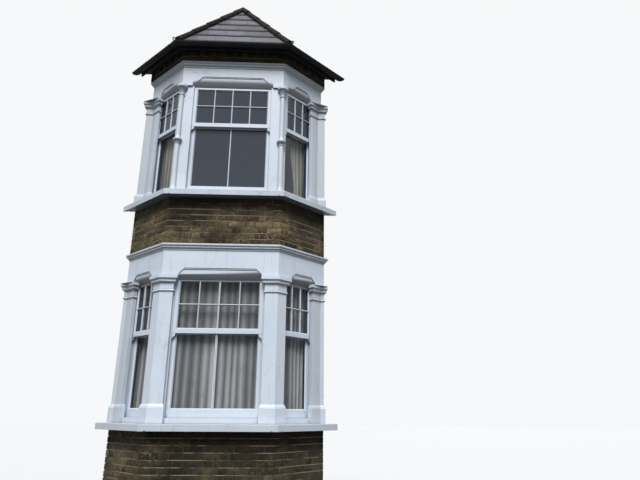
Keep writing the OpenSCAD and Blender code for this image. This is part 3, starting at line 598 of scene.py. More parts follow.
STONE_PAINT = white_paint("painted stone", (0.625, 0.695, 0.790),
                          grime=1.0, coarse=0.55, shade_below=0.50, shade_near_wall=0.62)
FRIEZE_PAINT = white_paint("painted friezes and lintels", (0.620, 0.690, 0.785),
                           grime=1.0, coarse=0.55, shade_below=0.92, shade_near_wall=0.0)
SILL_PAINT = white_paint("painted sills", (0.525, 0.583, 0.656),
                         grime=1.7, coarse=0.70, shade_below=0.92, shade_near_wall=0.25)
WOOD_PAINT = white_paint("painted joinery", (0.610, 0.674, 0.757),
                         grime=0.55, coarse=0.25, shade_below=0.55, shade_near_wall=0.0)
BRICK = stock_brick()
MORTAR = lime_mortar()
PLASTER = wall_plaster()
BOARDS = sawn_pine("sawn boards", seams=True)
TIMBER = sawn_pine("rafters and joists", seams=False)
BLACK_BOARDS = black_paint("black painted boards", rust=0.0, gloss=0.50)
IRON = black_paint("black painted iron", rust=0.8, gloss=0.35)
SLATE = riven_slate()
CLAY = clay_tile()
NET = curtain_cloth("net curtain", (0.66, 0.672, 0.690), weave=0.0006)
CREAM = curtain_cloth("cream curtain", (0.72, 0.70, 0.635), weave=0.0008)
TRACK = track_metal()
GROUND_GLASS = window_glass("ground storey glass", (0.020, 0.024, 0.030), 0.88, ground_clear)
UPPER_GLASS = window_glass("upper storey glass", (0.030, 0.040, 0.056), 0.80, upper_clear)

FINISHES = [
    (BOARDS, "ground_floor first_floor roof_boards"),
    (TIMBER, "rafters"),
    (PLASTER, "ground_ceiling upper_ceiling"),
    (SILL_PAINT, "ground_sill upper_sill"),
    (FRIEZE_PAINT, "ground_entablature upper_entablature"),
    (STONE_PAINT, "ground_cornice upper_cornice ground_left_front_pier ground_right_front_pier"),
    (STONE_PAINT, "ground_left_wall_pier ground_right_wall_pier upper_left_wall_pier upper_right_wall_pier"),
    (WOOD_PAINT, "left_corner_post right_corner_post left_colonnette right_colonnette"),
    (WOOD_PAINT, "ground_front_frame ground_side_frames ground_top_sashes ground_bottom_sashes"),
    (WOOD_PAINT, "upper_front_frame upper_side_frames upper_top_sashes upper_bottom_sashes"),
    (GROUND_GLASS, "ground_glass"),
    (UPPER_GLASS, "upper_glass"),
    (TRACK, "curtain_tracks"),
    (BLACK_BOARDS, "eaves_boards"),
    (IRON, "gutter hip_irons"),
]
# How far the edges of a node are rounded. Glass stays as it is.
USUAL_ROUNDING = 0.0025
ROUNDING = {"ground_glass": 0.0, "upper_glass": 0.0, "gutter": 0.0008, "hip_irons": 0.001,
            "curtain_tracks": 0.0008, "left_colonnette": 0.001, "right_colonnette": 0.001}


def smoothing():
    """A modifier's node group that shades curved surfaces smooth and keeps the sharp edges."""
    group = bpy.data.node_groups.new("smooth curves", "GeometryNodeTree")
    for way in ("INPUT", "OUTPUT"):
        group.interface.new_socket("Geometry", in_out=way, socket_type="NodeSocketGeometry")
    entry, leave, faces, edges, angle, sharp = [group.nodes.new(kind) for kind in (
        "NodeGroupInput", "NodeGroupOutput", "GeometryNodeSetShadeSmooth", "GeometryNodeSetShadeSmooth",
        "GeometryNodeInputMeshEdgeAngle", "FunctionNodeCompare")]
    edges.domain = "EDGE"
    edges.inputs["Shade Smooth"].default_value = False
    sharp.operation = "GREATER_THAN"
    sharp.inputs["B"].default_value = math.radians(SHARP_FROM)
    group.links.new(entry.outputs[0], faces.inputs["Geometry"])
    group.links.new(faces.outputs[0], edges.inputs["Geometry"])
    group.links.new(angle.outputs["Unsigned Angle"], sharp.inputs["A"])
    group.links.new(sharp.outputs[0], edges.inputs["Selection"])
    group.links.new(edges.outputs[0], leave.inputs[0])
    return group


def dress_cad_node(name, material, curves):
    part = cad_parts[name]
    part.data.materials.clear()
    part.data.materials.append(material)
    part.modifiers.new("weld", "WELD").merge_threshold = 0.00002
    width = ROUNDING.get(name, USUAL_ROUNDING)
    if width:
        round_edges(part, width, SHARP_FROM)
    part.modifiers.new("smooth curves", "NODES").node_group = curves
    flats = part.modifiers.new("flat faces stay flat", "WEIGHTED_NORMAL")
    flats.keep_sharp = True
    flats.weight = 80


# Brickwork, laid in the unrolled surface. Squint bricks turn the folds.
STRETCHER = 0.215
HEADER = 0.1025
JOINT = 0.010
LONG_LEG = 0.165
SHORT_LEG = 0.090
BRICK_H = 0.066
COURSE_H = 0.076
ARRIS = 0.005
SHORTEST_BRICK = 0.012
# The ends of one whole brick or two halves across the cut wall, as distances e
WHOLE_END = [(-0.002, -0.213)]
HALF_ENDS = [(-0.002, -0.1015), (-0.1125, -0.213)]
# Bare brick inside is left out where it would be lower than this
LEAST_BARE = 0.05
# How far back from the wall's face the sides of a brick run, and where the mortar and the plaster lie
BRICK_BACK = 0.022
MORTAR_FROM = 0.0045
MORTAR_TO = 0.2125
INNER_MORTAR = (0.2126, 0.2215)
PLASTER_FROM = 0.2127


def fitted(start, stop, pattern):
    """Bricks of a pattern stretched a little to fill a length, with a joint before and after each."""
    wanted = stop - start - JOINT * (len(pattern) + 1)
    scale = wanted / sum(pattern)
    spans = []
    u = start + JOINT
    for width in pattern:
        spans.append((u, u + width * scale))
        u += width * scale + JOINT
    return spans


def runs_out(start, length, pattern):
    """Bricks of a repeated pattern laid from a fold until the wall cuts them off."""
    spans = []
    u = start + JOINT
    i = 0
    while u < length - SHORTEST_BRICK:
        width = pattern[i % len(pattern)]
        spans.append((u, min(u + width, length)))
        u += width + JOINT
        i += 1
    return spans


def course(skin, odd):
    """The bricks of one course as spans of u."""
    cant = skin.folds[1]
    front = skin.folds[2] - cant
    front_leg, side_leg = (SHORT_LEG, LONG_LEG) if odd else (LONG_LEG, SHORT_LEG)
    pattern = [STRETCHER, HEADER] * 3 + [STRETCHER] if odd else [HEADER, STRETCHER] * 3 + [HEADER]
    side_pattern = [HEADER, STRETCHER] if odd else [STRETCHER, HEADER]
    spans = fitted(cant + front_leg, cant + front - front_leg, pattern)
    sides = runs_out(side_leg, cant, side_pattern)
    spans += [(cant - b, cant - a) for a, b in sides]
    spans += [(cant + front + a, cant + front + b) for a, b in sides]
    spans += [(cant - side_leg, cant + front_leg), (cant + front - front_leg, cant + front + side_leg)]
    return sorted(spans)


def stations(a, b, edge, step, stops=()):
    """Places between a and b: one close to each end, some between, and any stop that lies inside."""
    count = max(1, round((b - a - 2 * edge) / step))
    inner = [a + edge + (b - a - 2 * edge) * i / count for i in range(count + 1)]
    inner += [s for s in stops if a + edge < s < b - edge]
    return [a, *sorted(inner), b]


def brick_shade(rng):
    """The kind of a brick, how light it is and how worn."""
    return (rng.betavariate(2.2, 2.0), rng.random(), rng.random())


def lay_brick(work, skin, u0, u1, z0, z1, rng):
    """One brick: a rough face with worn arrises, and sides that run back into the mortar."""
    shade = brick_shade(rng)
    worn = 0.0022 + 0.0035 * rng.random() ** 3
    lean = rng.uniform(-0.0012, 0.0012)
    sunk = 0.0008 + 0.0022 * rng.random() ** 2
    seed = Vector((rng.uniform(0, 90), rng.uniform(0, 90), rng.uniform(0, 90)))
    stops = [s for s in skin.folds[1:-1] if u0 + 0.02 < s < u1 - 0.02]
    us = stations(u0, u1, ARRIS, 0.036, stops)
    zs = stations(z0, z1, ARRIS, 0.029)
    rows = []
    for k, z in enumerate(zs):
        at_bed = k in (0, len(zs) - 1)
        row = []
        for i, u in enumerate(us):
            rim = (i in (0, len(us) - 1)) + at_bed
            rough = noise.noise(seed + Vector((u * 21, 0, z * 25)))
            nibble = noise.noise(seed + Vector((u * 60, 5, z * 60)))
            depth = sunk + lean * (z - z0) / BRICK_H + 0.0012 * (rough + 1)
            depth += rim * worn * (0.8 + 0.7 * nibble)
            drawn_in = 0.0010 * rim * nibble if at_bed else 0.0
            row.append(work.point(skin.at(u, max(depth, 0.0), z + drawn_in), shade))
        rows.append(row)
    work.grid(rows)
    rim = rows[0] + [r[-1] for r in rows[1:-1]] + rows[-1][::-1] + [r[0] for r in rows[-2:0:-1]]
    rim_u = us + [us[-1]] * (len(zs) - 2) + us[::-1] + [us[0]] * (len(zs) - 2)
    rim_z = [zs[0]] * len(us) + zs[1:-1] + [zs[-1]] * len(us) + zs[-2:0:-1]
    back = [work.point(skin.at(u, BRICK_BACK, z), shade) for u, z in zip(rim_u, rim_z)]
    work.grid([back, rim], closed=True)


def lay_courses(work, skin, z0, z1, count, rng, first_odd):
    height = (z1 - z0) / count
    for k in range(count):
        for u0, u1 in course(skin, (k + first_odd) % 2):
            low = z0 + k * height + JOINT / 2 + rng.uniform(-0.0012, 0.0012)
            high = z0 + (k + 1) * height - JOINT / 2 + rng.uniform(-0.0012, 0.0012)
            left = u0 + rng.uniform(-0.001, 0.001)
            lay_brick(work, skin, left, u1 + rng.uniform(-0.001, 0.001), low, high, rng)


def lay_cut_ends(work, z0, z1, count, rng, first_odd):
    """The bricks that show where the object is cut off at the house wall."""
    height = (z1 - z0) / count
    for k in range(count):
        z = (z0 + k * height + JOINT / 2, z0 + (k + 1) * height - JOINT / 2)
        for span in WHOLE_END if (k + first_odd) % 2 else HALF_ENDS:
            for side in (1, -1):
                x = sorted(side * wall_end(e).x for e in span)
                loops = [[(a, y, b) for a, b in upright(x, z, inset)]
                         for inset, y in ((0.0, WALL_Y - 0.03), (0.0, WALL_Y - 0.0025), (0.0025, WALL_Y))]
                work.solid(loops, brick_shade(rng))


def bed_levels(z0, z1, beds):
    """Heights from foot to top with the shade of the mortar there: 1 in a level joint, 0 between joints."""
    levels = [(z0, 0.0)]
    for k in range(1, beds):
        z = z0 + (z1 - z0) * k / beds
        levels += [(z - 0.0042, 0.0), (z - 0.0034, 1.0), (z + 0.0034, 1.0), (z + 0.0042, 0.0)]
    return levels + [(z1, 0.0)]


def ring(work, depth_out, depth_in, z0, z1, short, beds=0):
    """A layer of wall round the three faces, between two depths. It stops short of the house wall."""
    plan = OUTSIDE.corners(depth_out) + OUTSIDE.corners(depth_in)[::-1]
    plan = [Vector((p.x, min(p.y, WALL_Y - short))) for p in plan]
    rows = [[work.point((p.x, p.y, z), (shade, 0.5, 0.5)) for p in plan]
            for z, shade in bed_levels(z0, z1, beds)]
    work.grid(rows, closed=True)
    for row in (rows[0], rows[-1]):
        for i in range(3):
            work.face((row[i], row[i + 1], row[6 - i], row[7 - i]))


def brick_wall(name, count, bare_to, seed, first_odd=0, dentils=False):
    """A wall of so many courses. Inside it is bare brick up to a height, and plastered above it."""
    node = f"{name}_wall"
    low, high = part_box(node)
    z0, z1 = low.z, high.z
    bare = bare_to > z0 + LEAST_BARE
    rng = random.Random(seed)
    bricks = Work()
    lay_courses(bricks, OUTSIDE, z0, z1, count, rng, first_odd)
    lay_cut_ends(bricks, z0, z1, count, rng, first_odd)
    if bare:
        inner_count = max(1, round((bare_to - z0) / COURSE_H))
        lay_courses(bricks, INSIDE, z0, bare_to, inner_count, rng, first_odd)
    if dentils:
        lay_dentils(bricks, z1, rng)
    bricks.piece(f"{name}_bricks", [BRICK], "brick", smooth=32, stands_for=[node])
    core = Work()
    ring(core, MORTAR_FROM, MORTAR_TO, z0, z1, short=0.003, beds=count)
    if bare:
        ring(core, *INNER_MORTAR, z0, bare_to, short=0.003)
    core.piece(f"{name}_mortar", [MORTAR], "brick")
    plaster = Work()
    ring(plaster, PLASTER_FROM, WALL_T, max(z0, bare_to), z1, short=0.001)
    plaster.piece(f"{name}_plaster", [PLASTER], "plaster")


DENTIL_PITCH = 0.150
DENTIL_HALF = 0.0375
DENTIL_OUT = 0.022
DENTIL_DROPS = (0.071, 0.005)
DENTIL_END_GAP = 0.020


def lay_dentils(work, z1, rng):
    """Header bricks that stand out under the eaves, every second one."""
    side_length = 2 * SIDE_CENTRE - DENTIL_END_GAP
    z = [z1 - drop for drop in DENTIL_DROPS]
    for face, length in ((FRONT, 2 * FRONT_HALF), (LEFT, side_length), (RIGHT, side_length)):
        count = math.floor(length / DENTIL_PITCH)
        for i in range(count):
            middle = (i - (count - 1) / 2) * DENTIL_PITCH
            x = (middle - DENTIL_HALF, middle + DENTIL_HALF)
            loops = [[face.at(a, depth, b) for a, b in upright(x, z, inset)]
                     for inset, depth in ((0.001, 0.004), (0.001, 0.003 - DENTIL_OUT), (0.004, -DENTIL_OUT))]
            work.solid(loops, brick_shade(rng))


# Windows
class Window:
    """One window of a storey on one face, with the heights of its panes."""

    def __init__(self, storey, place):
        self.face = FACES[place]
        self.half = FRONT_GLASS if place == "front" else SIDE_GLASS
        self.lights = 4 if place == "front" else 3
        top_low, top_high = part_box(f"{storey}_top_sashes")
        foot_low, foot_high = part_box(f"{storey}_bottom_sashes")
        self.top = (top_low.z + MEETING_RAIL, top_high.z - TOP_RAIL)
        self.bottom = (foot_low.z + BOTTOM_RAIL[storey], foot_high.z - MEETING_RAIL)
        self.meeting_z = top_low.z
        self.top_depth = SET_BACK[storey] + SASH_INSET
        self.bottom_depth = self.top_depth + SASH_T


# A glazing bar's section: a narrow nose outside, puttied slopes, and a moulded edge to the room
BAR = [(-0.0040, 0.0020), (-0.0095, 0.0165), (-0.0095, 0.0235), (-0.0085, 0.0290), (-0.0060, 0.0325),
       (-0.0055, 0.0385), (0.0055, 0.0385), (0.0060, 0.0325), (0.0085, 0.0290), (0.0095, 0.0235),
       (0.0095, 0.0165), (0.0040, 0.0020)]
# Sections round a pane, as pairs of inset and depth: the putty outside and the moulded rebate inside
PUTTY = [(0.0, 0.0016), (0.0105, 0.0172), (0.0, 0.0178)]
REBATE = [(0.0, 0.0222), (0.0095, 0.0224), (0.0090, 0.0280), (0.0050, 0.0330), (0.0, 0.0380)]
# How far the level bar lies above the middle of the upper panes
LEVEL_BAR_LIFT = 0.005


def upright_bar(work, window, x, z, depth):
    work.solid([[window.face.at(x + a, depth + d, h) for a, d in BAR] for h in z])


def level_bar(work, window, z, depth):
    work.solid([[window.face.at(x, depth + d, z + a) for a, d in BAR] for x in (-window.half, window.half)])


def pane_edge(work, window, z, depth):
    """Putty round a pane outside and the moulded rebate inside, each mitred at the corners."""
    x = (-window.half, window.half)
    for section in (PUTTY, REBATE):
        rows = [[work.point(window.face.at(a, depth + back, b)) for a, b in upright(x, z, inset)]
                for inset, back in section]
        work.grid([*rows, rows[0]], closed=True)


def sash_horn(work, window, side):
    """The shaped end of a stile below the meeting rail."""
    outer = side * (window.half + STILE_W - 0.001)
    inner = side * (window.half + 0.001)
    z = window.meeting_z
    shape = [(outer, z + 0.002), (inner, z + 0.002), (inner, z - 0.010), (inner + side * 0.004, z - 0.014)]
    for i in range(7):
        turn = math.radians(90 * i / 6)
        across = 0.005 + 0.020 * (1 - math.cos(turn))
        shape.append((inner + side * across, z - 0.016 - 0.026 * math.sin(turn)))
    for i in range(1, 6):
        turn = math.radians(90 * i / 5)
        across = 0.025 + 0.010 * math.sin(turn)
        shape.append((inner + side * across, z - 0.042 - 0.016 * (1 - math.cos(turn))))
    shape.append((outer, z - 0.062))
    work.solid([[window.face.at(x, window.top_depth + d, h) for x, h in shape]
                for d in (0.003, SASH_T - 0.004)])


def glaze(storey):
    bars, putty, horns = Work(), Work(), Work()
    for place in FACES:
        window = Window(storey, place)
        for i in range(1, window.lights):
            upright_bar(bars, window, window.half * (2 * i / window.lights - 1), window.top, window.top_depth)
        level_bar(bars, window, sum(window.top) / 2 + LEVEL_BAR_LIFT, window.top_depth)
        if place == "front":
            upright_bar(bars, window, 0.0, window.bottom, window.bottom_depth)
        pane_edge(putty, window, window.top, window.top_depth)
        pane_edge(putty, window, window.bottom, window.bottom_depth)
        for side in (-1, 1):
            sash_horn(horns, window, side)
    bars.piece(f"{storey}_glazing_bars", [WOOD_PAINT], "painted_wood", bevel=0.0008)
    putty.piece(f"{storey}_putty_and_rebates", [WOOD_PAINT], "painted_wood")
    horns.piece(f"{storey}_sash_horns", [WOOD_PAINT], "painted_wood", bevel=0.002)


# Curtains: one sheet each, gathered at the track and falling in folds
FRONT_EDGE = FRONT_GLASS + 0.024
# How far the side curtains reach from the middle of their window, towards the fold and the house wall
FOLD_END_X = SIDE_GLASS - 0.030
WALL_END_X = {"ground": 0.250, "upper": 0.224}
FOLD_DEEP = 0.012
CLOTH_T = 0.0016
# For each storey: how deep its curtains hang, their cloth and its slot
HANGING = {"ground": (0.168, NET, "pale_cloth"), "upper": (0.193, CREAM, "cream_cloth")}


def between(values, n, blend):
    """A value on the way from one fold to the next."""
    return values[n] * (1 - blend) + values[min(n + 1, len(values) - 1)] * blend


def hang(name, storey, face, x, z, pitch, seed, flare=0.0, lean=0.0, node=None):
    """A curtain between a pair of x and a pair of z. The folds wander and open out towards the foot."""
    z0, z1 = z
    back, cloth, slot = HANGING[storey]
    rng = random.Random(seed)
    width = x[1] - x[0]
    folds = max(2, round(width / pitch))
    phases = [rng.uniform(-0.35, 0.35) for i in range(folds + 2)]
    strengths = [rng.uniform(0.55, 1.0) for i in range(folds + 2)]
    across = folds * 12
    down = 30
    work = Work()
    rows = []
    for k in range(down + 1):
        t = k / down
        row = []
        for i in range(across + 1):
            s = i / across
            wander = 0.14 * noise.noise(Vector((s * folds * 0.8, t * 1.6, seed))) * t
            wander += 0.55 * noise.noise(Vector((s * folds * 0.47, 0.2 * t, seed + 31)))
            turn = s * folds + wander
            n = min(int(turn + 1), folds)
            swing = turn + 0.4 * between(phases, n, turn + 1 - n)
            strength = between(strengths, n, turn + 1 - n)
            depth = math.sin(2 * math.pi * swing) * FOLD_DEEP * strength * (0.55 + 0.45 * t)
            slide = 0.28 * pitch * math.sin(4 * math.pi * swing) * strength * 0.35
            open_out = flare * (s - 0.5) * t + lean * t
            place = face.at(x[0] + width * s + slide + open_out, back + depth, z1 - (z1 - z0) * t)
            place.y = min(place.y, WALL_Y - 0.001)
            broad = noise.noise(Vector((s * folds * 0.31, 0.7 * t, seed + 57)))
            # The first shade number is painted shade: darker where the fold lies deeper, and varied in broad
            # bands.
            tone = (0.5 - 0.5 * depth / FOLD_DEEP) * (0.80 + 0.7 * broad) + 0.25 * broad
            hem = 1.0 if t > 0.965 else 0.0
            row.append(work.point(place, (min(1, max(0, tone)), hem, t)))
        rows.append(row)
    work.grid(rows)
    made = work.piece(name, [cloth], slot, smooth=80, stands_for=[node] if node else ())
    thick = made.modifiers.new("cloth thickness", "SOLIDIFY")
    thick.thickness = CLOTH_T
    thick.offset = 0


def hang_curtains():
    ground_low, ground_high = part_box("ground_curtains")
    upper_low, upper_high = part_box("upper_curtains")
    z = (ground_low.z, ground_high.z)
    far = WALL_END_X["ground"]
    hang("ground_front_curtain_left", "ground", FRONT, (-FRONT_EDGE, -0.020), z, 0.092, seed=11,
         node="ground_curtains")
    hang("ground_front_curtain_right", "ground", FRONT, (-0.026, FRONT_EDGE), z, 0.092, seed=12)
    hang("ground_left_curtain", "ground", LEFT, (-far, FOLD_END_X), z, 0.070, seed=13)
    hang("ground_right_curtain", "ground", RIGHT, (-FOLD_END_X, far), z, 0.070, seed=14)
    z = (upper_low.z, upper_high.z)
    far = WALL_END_X["upper"]
    hang("upper_left_curtain", "upper", LEFT, (-far, FOLD_END_X), z, 0.074, seed=15, node="upper_curtains")
    hang("upper_right_curtain", "upper", RIGHT, (-FOLD_END_X, far), z, 0.066, seed=16, flare=-0.12, lean=0.06)


# Roof
class Slope:
    """One roof slope: a runs along its foot, b up the slope and depth square into it."""

    def __init__(self, left_foot, right_foot):
        self.start = left_foot
        self.along = (right_foot - left_foot).normalized()
        self.foot = (right_foot - left_foot).length
        rise = PEAK - left_foot
        self.peak_a = rise.dot(self.along)
        up = rise - self.along * self.peak_a
        self.length = up.length
        self.up = up.normalized()
        self.outwards = self.along.cross(self.up)

    def at(self, a, b, depth):
        return self.start + self.along * a + self.up * b - self.outwards * depth

    def trim(self, outline, margin):
        """The part of a flat outline that lies inside the slope's triangle."""
        corners = [(0.0, 0.0), (self.foot, 0.0), (self.peak_a, self.length)]
        for i, (ax, ay) in enumerate(corners):
            bx, by = corners[(i + 1) % 3]
            length = math.hypot(bx - ax, by - ay)
            inset = 0.0 if i == 0 else margin

            def inside(p):
                return ((bx - ax) * (p[1] - ay) - (by - ay) * (p[0] - ax)) / length - inset

            kept = []
            for p, q in zip(outline, outline[1:] + outline[:1]):
                dp, dq = inside(p), inside(q)
                if dp >= 0:
                    kept.append(p)
                if (dp >= 0) != (dq >= 0):
                    share = dp / (dp - dq)
                    kept.append((p[0] + (q[0] - p[0]) * share, p[1] + (q[1] - p[1]) * share))
            outline = kept
            if len(outline) < 3:
                return []
        return outline


def roof_foot(p):
    return Vector((p.x, p.y, SLATE_FOOT_Z))


HIP_RIGHT = roof_foot(fold(SLATE_OUT))
HIP_LEFT = mirrored(HIP_RIGHT)
END_RIGHT = roof_foot(wall_end(SLATE_OUT))
END_LEFT = mirrored(END_RIGHT)
SLOPES = {"front": Slope(HIP_LEFT, HIP_RIGHT), "right": Slope(HIP_RIGHT, END_RIGHT),
          "left": Slope(END_LEFT, HIP_LEFT)}
SLATE_W = 0.255
SLATE_GAUGE = 0.230
SLATE_T = 0.0075
# How long a slate and a short eaves slate are, in gauges, and how much deeper the eaves course lies
SLATE_REACH = 1.34
EAVES_REACH = 0.55
EAVES_SUNK = 0.0064


def lay_slates(place, seed):
    slope = SLOPES[place]
    rng = random.Random(seed)
    work = Work()
    for k in range(-1, math.ceil(slope.length / SLATE_GAUGE)):
        tail = max(k, 0) * SLATE_GAUGE
        reach = SLATE_GAUGE * (EAVES_REACH if k < 0 else SLATE_REACH)
        sunk = EAVES_SUNK if k < 0 else 0.0
        a = -SLATE_W * (0.5 if k % 2 else 1.0) - rng.uniform(0, 0.01)
        while a < slope.foot + SLATE_W:
            lay_slate(work, slope, rng, a, a + SLATE_W - rng.uniform(0.002, 0.004), tail, tail + reach, sunk)
            a += SLATE_W
    work.piece(f"{place}_slope_slates", [SLATE], "slate", smooth=20, bevel=0.0007,
               stands_for=[f"{place}_slates"])


def lay_slate(work, slope, rng, a0, a1, b0, b1, sunk):
    """One slate: a thin plate with a nibbled tail, trimmed to the slope."""
    tone, light = rng.betavariate(2, 2), rng.random()
    low = b0 + (rng.uniform(0.0, 0.004) if b0 > 0.01 else 0.0)
    nibbled = [(a0 + (a1 - a0) * i / 6, low + rng.uniform(0, 0.0022)) for i in range(7)]
    outline = slope.trim(nibbled + [(a1, b1), (a0, b1)], 0.003)
    if len(outline) < 3:
        return
    fall = (SLATE_T + 0.0004) / SLATE_GAUGE
    flatter = 0.9 if sunk else 1.0
    tilt = rng.uniform(0, 0.0006)
    loops = []
    for t in (SLATE_T, 0.0):
        loop = []
        for a, b in outline:
            place = slope.at(a, b, sunk + tilt + max(0.0, b - b0) * fall * flatter + t)
            place.y = min(place.y, WALL_Y - 0.0006)
            # The third shade number tells how far up the slate a point lies, for the painted shadow along the
            # tail.
            loop.append(work.point(place, (tone, light, (b - low) / SLATE_GAUGE)))
        loops.append(loop)
    work.grid(loops, closed=True)
    work.face(tuple(reversed(loops[0])))
    work.face(tuple(loops[1]))


TILE_R = 0.053
TILE_T = 0.012
TILE_LENGTH = 0.345
TILE_LAP = 0.055
TILE_TAPER = 0.0115
TILE_STEPS = 16


class Hip:
    """The line where two slopes meet. A section is drawn square to it, x to the side slope and y up."""

    def __init__(self, side):
        self.mirror = side < 0
        self.run = PEAK - HIP_RIGHT
        self.along = self.run.normalized()
        self.sideways = self.along.cross(Vector((0, 0, 1))).normalized()
        self.up = self.sideways.cross(self.along)
        front = SLOPES["front"].outwards.cross(self.along)
        right = SLOPES["right"].outwards.cross(self.along)
        front_turn = self.turn_of(front if front.x < 0 else -front) % (2 * math.pi)
        side_turn = self.turn_of(right if right.y > 0 else -right)
        self.turns = [side_turn + (front_turn - side_turn) * j / TILE_STEPS for j in range(TILE_STEPS + 1)]

    def turn_of(self, v):
        return math.atan2(v.dot(self.up), v.dot(self.sideways))

    def at(self, radius, turn, length):
        p = HIP_RIGHT + self.along * length
        p += (self.sideways * math.cos(turn) + self.up * math.sin(turn)) * radius
        return mirrored(p) if self.mirror else p


def lay_hip_tiles(side, seed):
    """Half-round tiles lapped up one hip, bedded in mortar and cut at the wall and at the other hip."""
    hip = Hip(side)
    rng = random.Random(seed)
    work = Work()
    for i in range(math.ceil((hip.run.length + TILE_R) / TILE_LENGTH)):
        shade = (rng.random(), rng.random(), rng.random())
        start = i * TILE_LENGTH + (0.0 if i == 0 else rng.uniform(-0.004, 0.004))
        stop = (i + 1) * TILE_LENGTH + TILE_LAP
        sag = rng.uniform(0.0, 0.0025)
        rng.random()  # One number is passed over, which keeps the tiles after this one as they are.
        rows = []
        for t in (0.0, 0.004, 0.10, 0.35, 0.65, 1.0):
            nosing = 0.003 if t == 0 else 0
            outer = TILE_R - 0.0005 - sag - TILE_TAPER * t - nosing
            length = start + (stop - start) * t
            row = []
            for radius, turns in ((outer, hip.turns), (outer - TILE_T + nosing, hip.turns[::-1])):
                for turn in turns:
                    bump = 0.0012 * noise.noise(Vector((turn * 2.5, length * 9, seed)))
                    row.append(work.point(hip.at(radius + bump - 0.0012, turn, length), shade))
            rows.append(row)
        work.grid(rows, closed=True)
        for row in (rows[0], rows[-1]):
            for j in range(TILE_STEPS):
                work.face((row[j], row[j + 1], row[-2 - j], row[-1 - j]))
    bed = [(0.0, 0.0)] + [(TILE_R - TILE_T - 0.0085, turn) for turn in hip.turns]
    lengths = [0.006, 0.3 * hip.run.length, 0.7 * hip.run.length, hip.run.length + TILE_R]
    work.solid([[hip.at(r, turn, length) for r, turn in bed] for length in lengths], slot=1)
    name = "right" if side > 0 else "left"
    made = work.piece(f"{name}_hip_tile_row", [CLAY, MORTAR], "clay", smooth=40, stands_for=["hip_tiles"])
    trim_to(made, Vector((0, WALL_Y, 0)), Vector((0, 1, 0)))
    trim_to(made, Vector((side * 0.002, 0, 0)), Vector((-side, 0, 0)))


def trim_to(made, place, outwards):
    """Cuts away what lies beyond a plane, and closes the cut."""
    b = bmesh.new()
    b.from_mesh(made.data)
    cut = bmesh.ops.bisect_plane(b, geom=b.verts[:] + b.edges[:] + b.faces[:], dist=1e-6, plane_co=place,
                                 plane_no=outwards, clear_outer=True)
    edges = [g for g in cut["geom_cut"] if isinstance(g, bmesh.types.BMEdge) and g.is_boundary]
    bmesh.ops.holes_fill(b, edges=edges, sides=0)
    bmesh.ops.recalc_face_normals(b, faces=b.faces)
    b.to_mesh(made.data)
    b.free()


# Gutter fittings: a collar round each angle, and brackets between them
GUTTER_E = 0.162
GUTTER_R = 0.050
GUTTER_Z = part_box("gutter")[1].z
ANGLE_ARM = 0.055
ANGLE_T = 0.0028
BRACKET_HALF = 0.0125
BRACKET_T = 0.0031
COLLAR_GAP = 0.0002
# Where the brackets are, from the middle of a face. The cant's first one is the one nearer the front.
CANT_BRACKETS = (-0.30, 0.28)
FRONT_BRACKETS = (-0.36, 0.36)


def fit_collar(work, lines, thickness, steps=10):
    """A half-round collar under the gutter, swept through lines that give a place for each e."""
    turns = [-math.pi * i / steps for i in range(steps + 1)]
    section = [(GUTTER_R + thickness, t) for t in turns]
    section += [(GUTTER_R + COLLAR_GAP, t) for t in reversed(turns)]
    section = [(GUTTER_E + r * math.cos(t), GUTTER_Z + r * math.sin(t)) for r, t in section]
    work.solid([[Vector((*line(e), z)) for e, z in section] for line in lines])


def fit_gutter():
    work = Work()

    def on(face, x):
        return lambda e: face.at(x, -e, 0).xy

    def at_fold(side):
        return lambda e: fold(e) if side > 0 else mirrored(fold(e))

    def bracket(face, x):
        fit_collar(work, [on(face, x - BRACKET_HALF), on(face, x + BRACKET_HALF)], BRACKET_T)

    reach = GUTTER_E * math.tan(CANT / 2) - ANGLE_ARM
    for side in (-1, 1):
        cant = RIGHT if side > 0 else LEFT
        lines = [on(FRONT, side * (FRONT_HALF + reach)), at_fold(side),
                 on(cant, -side * (SIDE_CENTRE + reach))]
        fit_collar(work, lines if side > 0 else lines[::-1], ANGLE_T)
        for x in CANT_BRACKETS:
            bracket(cant, side * x)
    for x in FRONT_BRACKETS:
        bracket(FRONT, x)
    work.piece("gutter_brackets_and_angles", [IRON], "iron", smooth=40, bevel=0.0006)


# Camera, floor and light
def add(name, data):
    made = bpy.data.objects.new(name, data)
    bpy.context.collection.objects.link(made)
    return made


def set_camera():
    lens = bpy.data.cameras.new("camera")
    lens.lens = 29.807
    lens.sensor_width = 36
    lens.clip_end = 200
    camera = add("camera", lens)
    camera.location = (0.9753, WALL_Y - 6.9526, 1.581)
    camera.rotation_euler = [math.radians(a) for a in (107.9964, -0.3428, -2.3729)]
    bpy.context.scene.camera = camera


FLOOR_REACH = 60


def set_floor():
    """A pale floor to look at, which throws little light back on the object."""
    corners = [(FLOOR_REACH * x, FLOOR_REACH * y, 0) for x, y in ((-1, -1), (1, -1), (1, 1), (-1, 1))]
    mesh = bpy.data.meshes.new("floor")
    mesh.from_pydata(corners, [], [(0, 1, 2, 3)])
    floor = add("floor", mesh)
    floor.location.z = -0.001
    finish = Finish("pale floor", roughness=0.9)
    speckle = finish.grain(7.0, 4.0)
    pale = finish.ramp(speckle, [(0.3, (0.530, 0.532, 0.535)), (0.7, (0.555, 0.557, 0.560))])
    dim = finish.ramp(speckle, [(0.3, (0.05, 0.05, 0.05)), (0.7, (0.06, 0.06, 0.06))])
    mesh.materials.append(finish.use(base_color=finish.mix(finish.seen_directly(), dim, pale)))


KEY_WAY = (0.02, 0.605, -0.795)
KEY_STRENGTH = 3.85
FILL_WAY = (-0.25, -0.75, -0.60)
FILL_STRENGTH = 0.9
LAMP_SPREAD = 29
LAMP_COLOUR = (0.97, 0.985, 1.0)
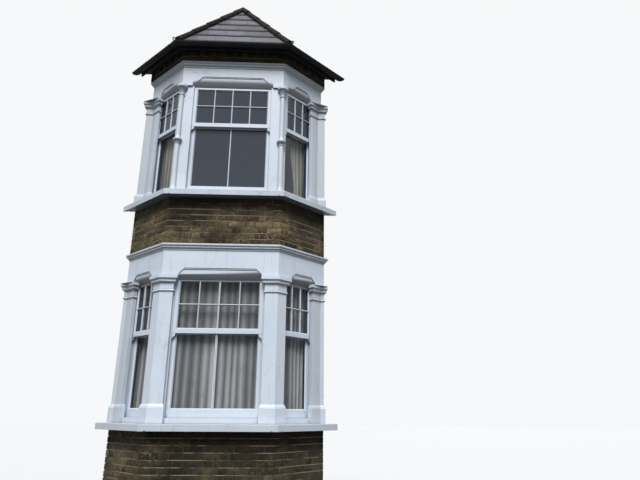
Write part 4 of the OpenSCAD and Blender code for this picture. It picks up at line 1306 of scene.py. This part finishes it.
# How bright the sky is, from straight down at 0 to straight up at 1
SKY = [(0.0, 0.06), (0.50, 0.06), (0.57, 0.24), (0.78, 0.496), (1.0, 0.62)]
SKY_COLOUR = (0.97, 0.99, 1.0)
BACKGROUND = (0.93, 0.94, 0.95, 1)


def set_sky():
    """A graded sky lights the object, while the camera, mirrors and glass see a plain pale one."""
    world = bpy.data.worlds.new("soft light")
    bpy.context.scene.world = world
    world.use_nodes = True
    world.node_tree.nodes.clear()
    sky = Nodes(world.node_tree)
    up = sky.parts(sky.node("ShaderNodeTexCoord", output="Generated"))[2]
    share_up = sky.node("ShaderNodeMapRange", sockets={"Value": up, "From Min": -1.0})
    graded = sky.ramp(share_up, [(place, scaled(SKY_COLOUR, level)) for place, level in SKY])
    lit = sky.node("ShaderNodeBackground", sockets={"Color": graded})
    seen = sky.node("ShaderNodeBackground", sockets={"Color": BACKGROUND})
    chosen = sky.node("ShaderNodeMixShader", sockets={0: sky.seen_directly(), 1: lit, 2: seen})
    leave = world.node_tree.nodes.new("ShaderNodeOutputWorld")
    world.node_tree.links.new(chosen.socket, leave.inputs[0])


def hang_lamp(name, way, strength, place):
    lamp = bpy.data.lights.new(name, "SUN")
    lamp.angle = math.radians(LAMP_SPREAD)
    lamp.energy = strength
    lamp.color = LAMP_COLOUR
    made = add(name, lamp)
    made.location = place
    made.rotation_euler = Vector(way).to_track_quat("-Z", "Y").to_euler()


set_camera()
curves = smoothing()
for material, names in FINISHES:
    for name in names.split():
        dress_cad_node(name, material, curves)
brick_wall("plinth", 18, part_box("ground_floor")[1].z, seed=101)
brick_wall("spandrel", 8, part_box("first_floor")[1].z, seed=102)
brick_wall("eaves", 2, 0.0, seed=103, first_odd=1, dentils=True)
for storey in SET_BACK:
    glaze(storey)
hang_curtains()
for number, place in enumerate(SLOPES):
    lay_slates(place, 200 + number)
for side in (-1, 1):
    lay_hip_tiles(side, 210 + side)
fit_gutter()
set_floor()
set_sky()
hang_lamp("soft key", KEY_WAY, KEY_STRENGTH, (0, -6, 12))
hang_lamp("fill from behind", FILL_WAY, FILL_STRENGTH, (3, 8, 8))

bpy.context.scene.view_settings.view_transform = "Standard"
